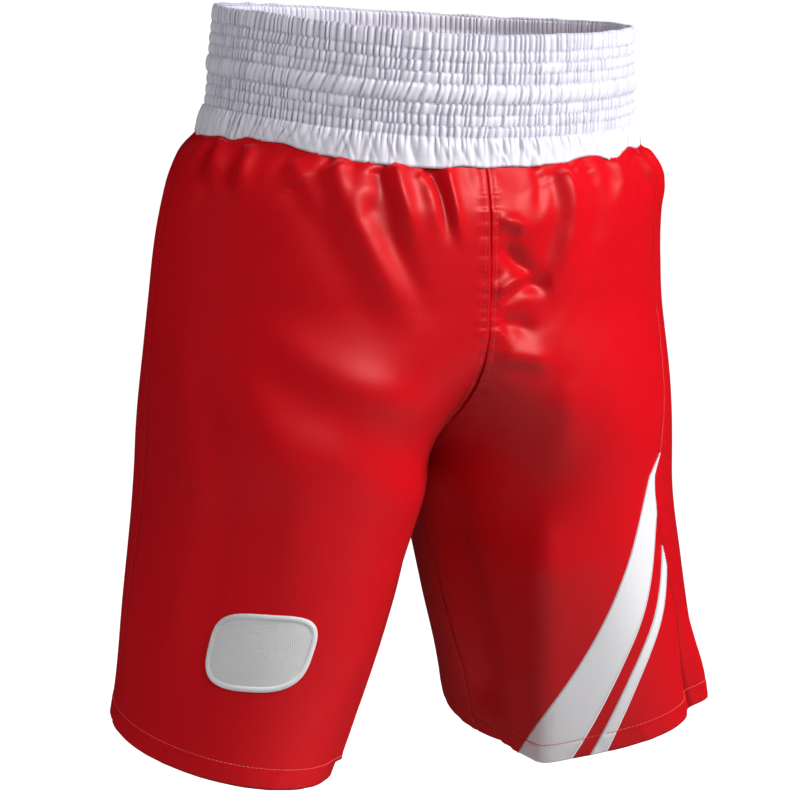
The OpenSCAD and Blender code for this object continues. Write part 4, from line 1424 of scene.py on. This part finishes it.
@dataclass
class SweptBands:
    """The broad band and the thin tape that leave the left side seam and sweep forwards to the hem."""

    finishes: Finishes
    seamstress: Seamstress
    broad: float = 36 * MM
    thin: float = 11 * MM
    gap: float = 10 * MM
    round_leg: float = 0.658
    thickness: float = 0.45 * MM
    front_edge: tuple[tuple[float, float], ...] = (
        (262, 0.340), (286, 0.3235), (312, 0.311), (336, 0.293), (354, 0.275), (386, 0.238), (422, 0.192),
        (460, 0.138), (490, 0.098), (520, 0.057), (550, 0.016))
    spread: tuple[tuple[float, float], ...] = ((286, 0.35), (340, 0.62), (400, 1.0))

    def hem_spans(self) -> list[tuple[float, float]]:
        """Turn shares that the band and the tape cover at the hem's stitching."""
        u = np.linspace(0.0, 0.3, 1201)
        s = BLOCK.hem_drop(L, u) - HEM_ROW
        start = self.broad + self.gap
        a, b, c, d = (float(u[np.argmin(np.abs(self.share(s, back) - u))])
                      for back in (0.0, self.broad, start, start + self.thin))
        return [(a, b), (c, d)]

    def share(self, s: Array, back: float) -> Array:
        """Turn share at a distance behind the front edge, no further back than the side seam."""
        nearby = [s + d * MM for d in range(-24, 25, 4)]
        curve, spread = (
            sum(np.interp(x, drops * MM, values) for x in nearby) / len(nearby)
            for drops, values in (np.array(table).T for table in (self.front_edge, self.spread)))
        u = curve + back / self.round_leg * spread
        return np.minimum(u, BLOCK.legs[L].seam - 0.0022)

    def first_drop(self, back: float) -> float:
        """Drop at which an edge comes out of the side seam."""
        s = np.linspace(260 * MM, 500 * MM, 961)
        return float(s[np.argmax(self.share(s, back) < BLOCK.legs[L].seam - 0.0026)])

    def strip(self, name: str, near: float, far: float) -> tuple[bpy.types.Object, list[tuple[Array, Array]]]:
        """An applied strip between two distances behind the front edge.

        Args:
            name: Name of the piece.
            near: Distance of its front edge.
            far: Distance of its back edge.

        Returns:
            The piece, and the routes of its two edges as drops and shares.
        """
        t = np.linspace(0, 1, 170)
        first = self.first_drop(near)
        columns = max(6, int((far - near) / (1.8 * MM)))

        def lane(c: float) -> tuple[Array, Array]:
            """Drops and shares of a line along the strip."""
            back = near + (far - near) * c
            foot = BLOCK.hem_drop(L, self.share(np.array([0.51]), back)[0]) - 0.1 * MM
            s = first + (foot - first) * t
            u = self.share(s, back)
            return first + (BLOCK.hem_drop(L, u) - 0.1 * MM - first) * t, u

        c = np.linspace(0, 1, columns + 1)
        lanes = [lane(ci) for ci in c]
        here = DRAPE.cloth(L, np.array([x[0] for x in lanes]), np.array([x[1] for x in lanes]))
        crown = np.sin(np.pi * np.clip(c, 0.02, 0.98))[:, None] ** 0.3
        top = here + self.steady_normals(here) * (0.1 * MM + self.thickness * crown[..., None])
        piece = thick_sheet(name, top, 0.4 * MM, 1)
        inset = 1.3 * MM / (far - near)
        return piece, [lane(ci) for ci in (inset, 1 - inset)]

    @staticmethod
    def steady_normals(points: Array) -> Array:
        """Normals of a grid, kept from flipping where its lines meet in a tip."""
        normal = grid_normals(points)
        normal[np.linalg.norm(normal, axis=-1) < 0.5] = (1.0, 0.0, 0.0)
        outwards = np.einsum("ijk,ijk->ij", normal, points - (0.12, 0.0, 0.0))
        normal[outwards < 0] *= -1
        return normal

    def build(self) -> None:
        """Make the band, the tape and their edge stitching."""
        start = self.broad + self.gap
        for name, node, near, far in (("broad_band_satin", "broad_band", 0.0, self.broad),
                                      ("thin_tape_satin", "thin_tape", start, start + self.thin)):
            piece, edges = self.strip(name, near, far)
            finish_piece(piece, self.finishes.trim, "white_trim", [node], leg=L)
            long = (BLOCK.body_len - self.first_drop(near)) * 1.12
            runs = [Seamstress.lay(L, s, u, 2.6 * MM) for s, u in edges]
            stitches = self.seamstress.joined(node + "_edge_stitches", runs, 2.6 * MM,
                                              self.finishes.white_thread, radius=0.17 * MM, out=0.62 * MM)
            finish_piece(stitches, None, "white_trim", [], leg=L)


@dataclass
class BlankPatch:
    """Plain rounded patch with a raised border of satin stitches, low on the right leg's front."""

    finishes: Finishes
    seamstress: Seamstress
    share: float = 0.30
    half_w: float = 37 * MM
    half_h: float = 26 * MM
    border: float = 3.4 * MM

    def drop(self) -> float:
        """Drop of the patch's middle."""
        lo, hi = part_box("blank_patch")
        return -(lo.z + hi.z) / 2

    def outline(self, a: Array, grow: float = 0.0) -> tuple[Array, Array]:
        """Across and up offsets of the outline at an angle."""
        c, n = np.cos(a), np.sin(a)
        x = (self.half_w + grow) * np.sign(c) * np.abs(c) ** 0.62
        z = (self.half_h + grow) * np.sign(n) * np.abs(n) ** 0.62
        return x, z

    def place(self, x: Array, z: Array, out: float) -> tuple[Array, Array]:
        """Points on the cloth for offsets across and up the patch, with the normals there."""
        drop, reach = self.drop(), 100
        shares = self.share + np.arange(-reach, reach + 1) * 0.002
        line = BLOCK.skin(R, np.full(len(shares), drop), np.clip(shares, 0, 1))
        run = np.concatenate([[0], np.cumsum(np.linalg.norm(np.diff(line, axis=0), axis=1))])
        return DRAPE.over(R, drop - np.asarray(z), np.interp(run[reach] - np.asarray(x), run, shares), out)

    def build(self) -> None:
        """Make the patch and its border."""
        n, rings = 120, 18
        a = np.linspace(0, 2 * np.pi, n, endpoint=False)
        ox, oz = self.outline(a)
        k = np.linspace(0.02, 1, rings)[None, :]
        top, _ = self.place(ox[:, None] * k, oz[:, None] * k, 0.75 * MM)
        patch = thick_sheet("blank_patch_twill", top, 0.5 * MM, 1, wrap=True)
        self.close_middle(patch, n, rings)
        patch = finish_piece(patch, self.finishes.patch, "patch_fabric", ["blank_patch"], leg=R)
        self.build_border()

    @staticmethod
    def close_middle(patch: bpy.types.Object, n: int, rings: int) -> None:
        """Close the small hole that the rings leave in the middle, on both faces."""
        mesh = bmesh.new()
        mesh.from_mesh(patch.data)
        mesh.verts.ensure_lookup_table()
        edge_loops = [[mesh.verts[first + i * rings] for i in range(n)] for first in (0, n * rings)]
        walls = [f for f in mesh.faces if all(v in edge_loops[0] or v in edge_loops[1] for v in f.verts)]
        bmesh.ops.delete(mesh, geom=walls, context="FACES_ONLY")
        for ring in edge_loops:
            mesh.faces.new(ring)
        bmesh.ops.recalc_face_normals(mesh, faces=mesh.faces)
        mesh.to_mesh(patch.data)
        mesh.free()

    def build_border(self) -> None:
        """Make the raised border: a core cord covered by close satin stitches."""
        count = 520
        a = np.linspace(0, 2 * np.pi, 4001)
        ox, oz = self.outline(a, -self.border / 2)
        run = np.concatenate([[0], np.cumsum(np.hypot(np.diff(ox), np.diff(oz)))])
        wanted = np.linspace(0, run[-1], count, endpoint=False)
        b = np.interp(wanted, run, a)
        x, z = self.outline(b, -self.border / 2)
        here, up = self.place(x, z, 1.0 * MM)
        tangent = unit(np.roll(here, -1, 0) - here)
        across = unit(np.cross(up, tangent) + tangent * 0.12)
        piece = self.seamstress.tree.sew("patch_border_stitches", here, across, up, self.border * 1.02,
                                         0.36 * MM, 0.55 * MM, self.finishes.patch_thread)
        finish_piece(piece, None, "patch_thread", ["patch_border"], leg=R)


# ---------------------------------------------------------------- stage


@dataclass(frozen=True)
class Stage:
    """Pale floor, soft studio lights and the camera."""

    azimuth: float = -22.0
    distance: float = 1.81
    eye_height: float = 0.062
    aim_height: float = -0.27
    view_width: float = 800 / 1400
    shift: tuple[float, float] = (-13 / 800, 2 / 800)
    roll: float = 2.0
    sensor: float = 36.0
    ambient: float = 0.055
    light_aim: float = -0.26

    def floor(self) -> None:
        """Pale floor well below the hems."""
        material = bpy.data.materials.new("pale_floor")
        material.use_nodes = True
        graph = Graph(material.node_tree)
        graph.fill(material.node_tree.nodes["Principled BSDF"], {
            "Base Color": (0.8, 0.8, 0.8, 1.0), "Roughness": 0.9, "Emission Color": (1.0, 1.0, 1.0, 1.0),
            "Emission Strength": graph.add("ShaderNodeLightPath").outputs["Is Camera Ray"]})
        z, reach = -1.15, 30.0
        corners = [(-reach, -reach, z), (reach, -reach, z), (reach, reach, z), (-reach, reach, z)]
        floor = new_piece("floor", np.array(corners), [(0, 1, 2, 3)])
        floor.data.materials.append(material)
        floor.visible_glossy = False

    def light(self, name: str, azimuth: float, elevation: float, distance: float, size: float,
              watts: float, glossy: bool) -> None:
        """A square soft box aimed at the shorts.

        Args:
            name: Name of the light.
            azimuth: Degrees round from the front, towards the wearer's left.
            elevation: Degrees above level.
            distance: Distance from the point that it is aimed at.
            size: Side of the square.
            watts: Power.
            glossy: Whether it shows in reflections.
        """
        data = bpy.data.lights.new(name, "AREA")
        data.shape, data.size, data.energy = "SQUARE", size, watts
        lamp = bpy.data.objects.new(name, data)
        a, e = math.radians(azimuth), math.radians(elevation)
        back = Vector((math.sin(a) * math.cos(e), -math.cos(a) * math.cos(e), math.sin(e)))
        lamp.location = Vector((0, 0, self.light_aim)) + back * distance
        lamp.visible_glossy = glossy
        lamp.rotation_euler = (-back).to_track_quat("-Z", "Y").to_euler()
        bpy.context.scene.collection.objects.link(lamp)

    def world(self) -> None:
        """White surroundings for the camera, dimmer as a light."""
        world = bpy.data.worlds.new("studio")
        world.use_nodes = True
        graph = Graph(world.node_tree)
        rays = graph.add("ShaderNodeLightPath").outputs
        power = graph.add("ShaderNodeMapRange", {
            "Value": rays["Is Camera Ray"], "To Min": self.ambient, "To Max": 1.0})
        calm = graph.add("ShaderNodeMath", {0: power.outputs["Result"], 1: rays["Is Glossy Ray"]},
                         operation="SUBTRACT", use_clamp=True)
        graph.fill(world.node_tree.nodes["Background"], {
            "Color": (1, 1, 1, 1), "Strength": calm.outputs["Value"]})
        bpy.context.scene.world = world

    def camera(self) -> None:
        """Camera at the wearer's right front, a little above the rim."""
        data = bpy.data.cameras.new("camera")
        camera = bpy.data.objects.new("camera", data)
        bpy.context.scene.collection.objects.link(camera)
        a = math.radians(self.azimuth)
        eye = Vector((math.sin(a) * self.distance, -math.cos(a) * self.distance, self.eye_height))
        look = Vector((0, 0, self.aim_height)) - eye
        data.sensor_width = self.sensor
        data.lens = look.length / self.view_width * self.sensor
        data.shift_x, data.shift_y = self.shift
        camera.location = eye
        camera.rotation_mode = "QUATERNION"
        camera.rotation_quaternion = look.to_track_quat("-Z", "Y") @ Quaternion(
            (0.0, 0.0, 1.0), math.radians(self.roll))
        bpy.context.scene.camera = camera

    def build(self) -> None:
        """Set the stage."""
        self.floor()
        self.world()
        self.camera()
        self.light("key", 57.0, 34.0, 2.4, 0.8, 54.0, glossy=False)
        self.light("fill", -94.0, 14.0, 2.8, 1.2, 26.0, glossy=False)
        self.light("front", 18.0, 36.0, 2.4, 0.7, 31.0, glossy=True)
        scene = bpy.context.scene
        scene.view_settings.view_transform = "Standard"
        scene.view_settings.look = "None"


def main() -> None:
    """Build the shorts, piece by piece."""
    logging.basicConfig(level=logging.INFO, format="%(message)s", stream=sys.stdout)
    Stage().build()
    finishes = Finishes()
    seamstress = Seamstress(StitchTree(), finishes)
    band = Waistband(finishes, seamstress)
    band.build()
    for side in Side:
        Leg(side, finishes, seamstress, band).build()
    RiseStitching(finishes, seamstress).build()
    SweptBands(finishes, seamstress).build()
    BlankPatch(finishes, seamstress).build()


if __name__ == "__main__":
    main()
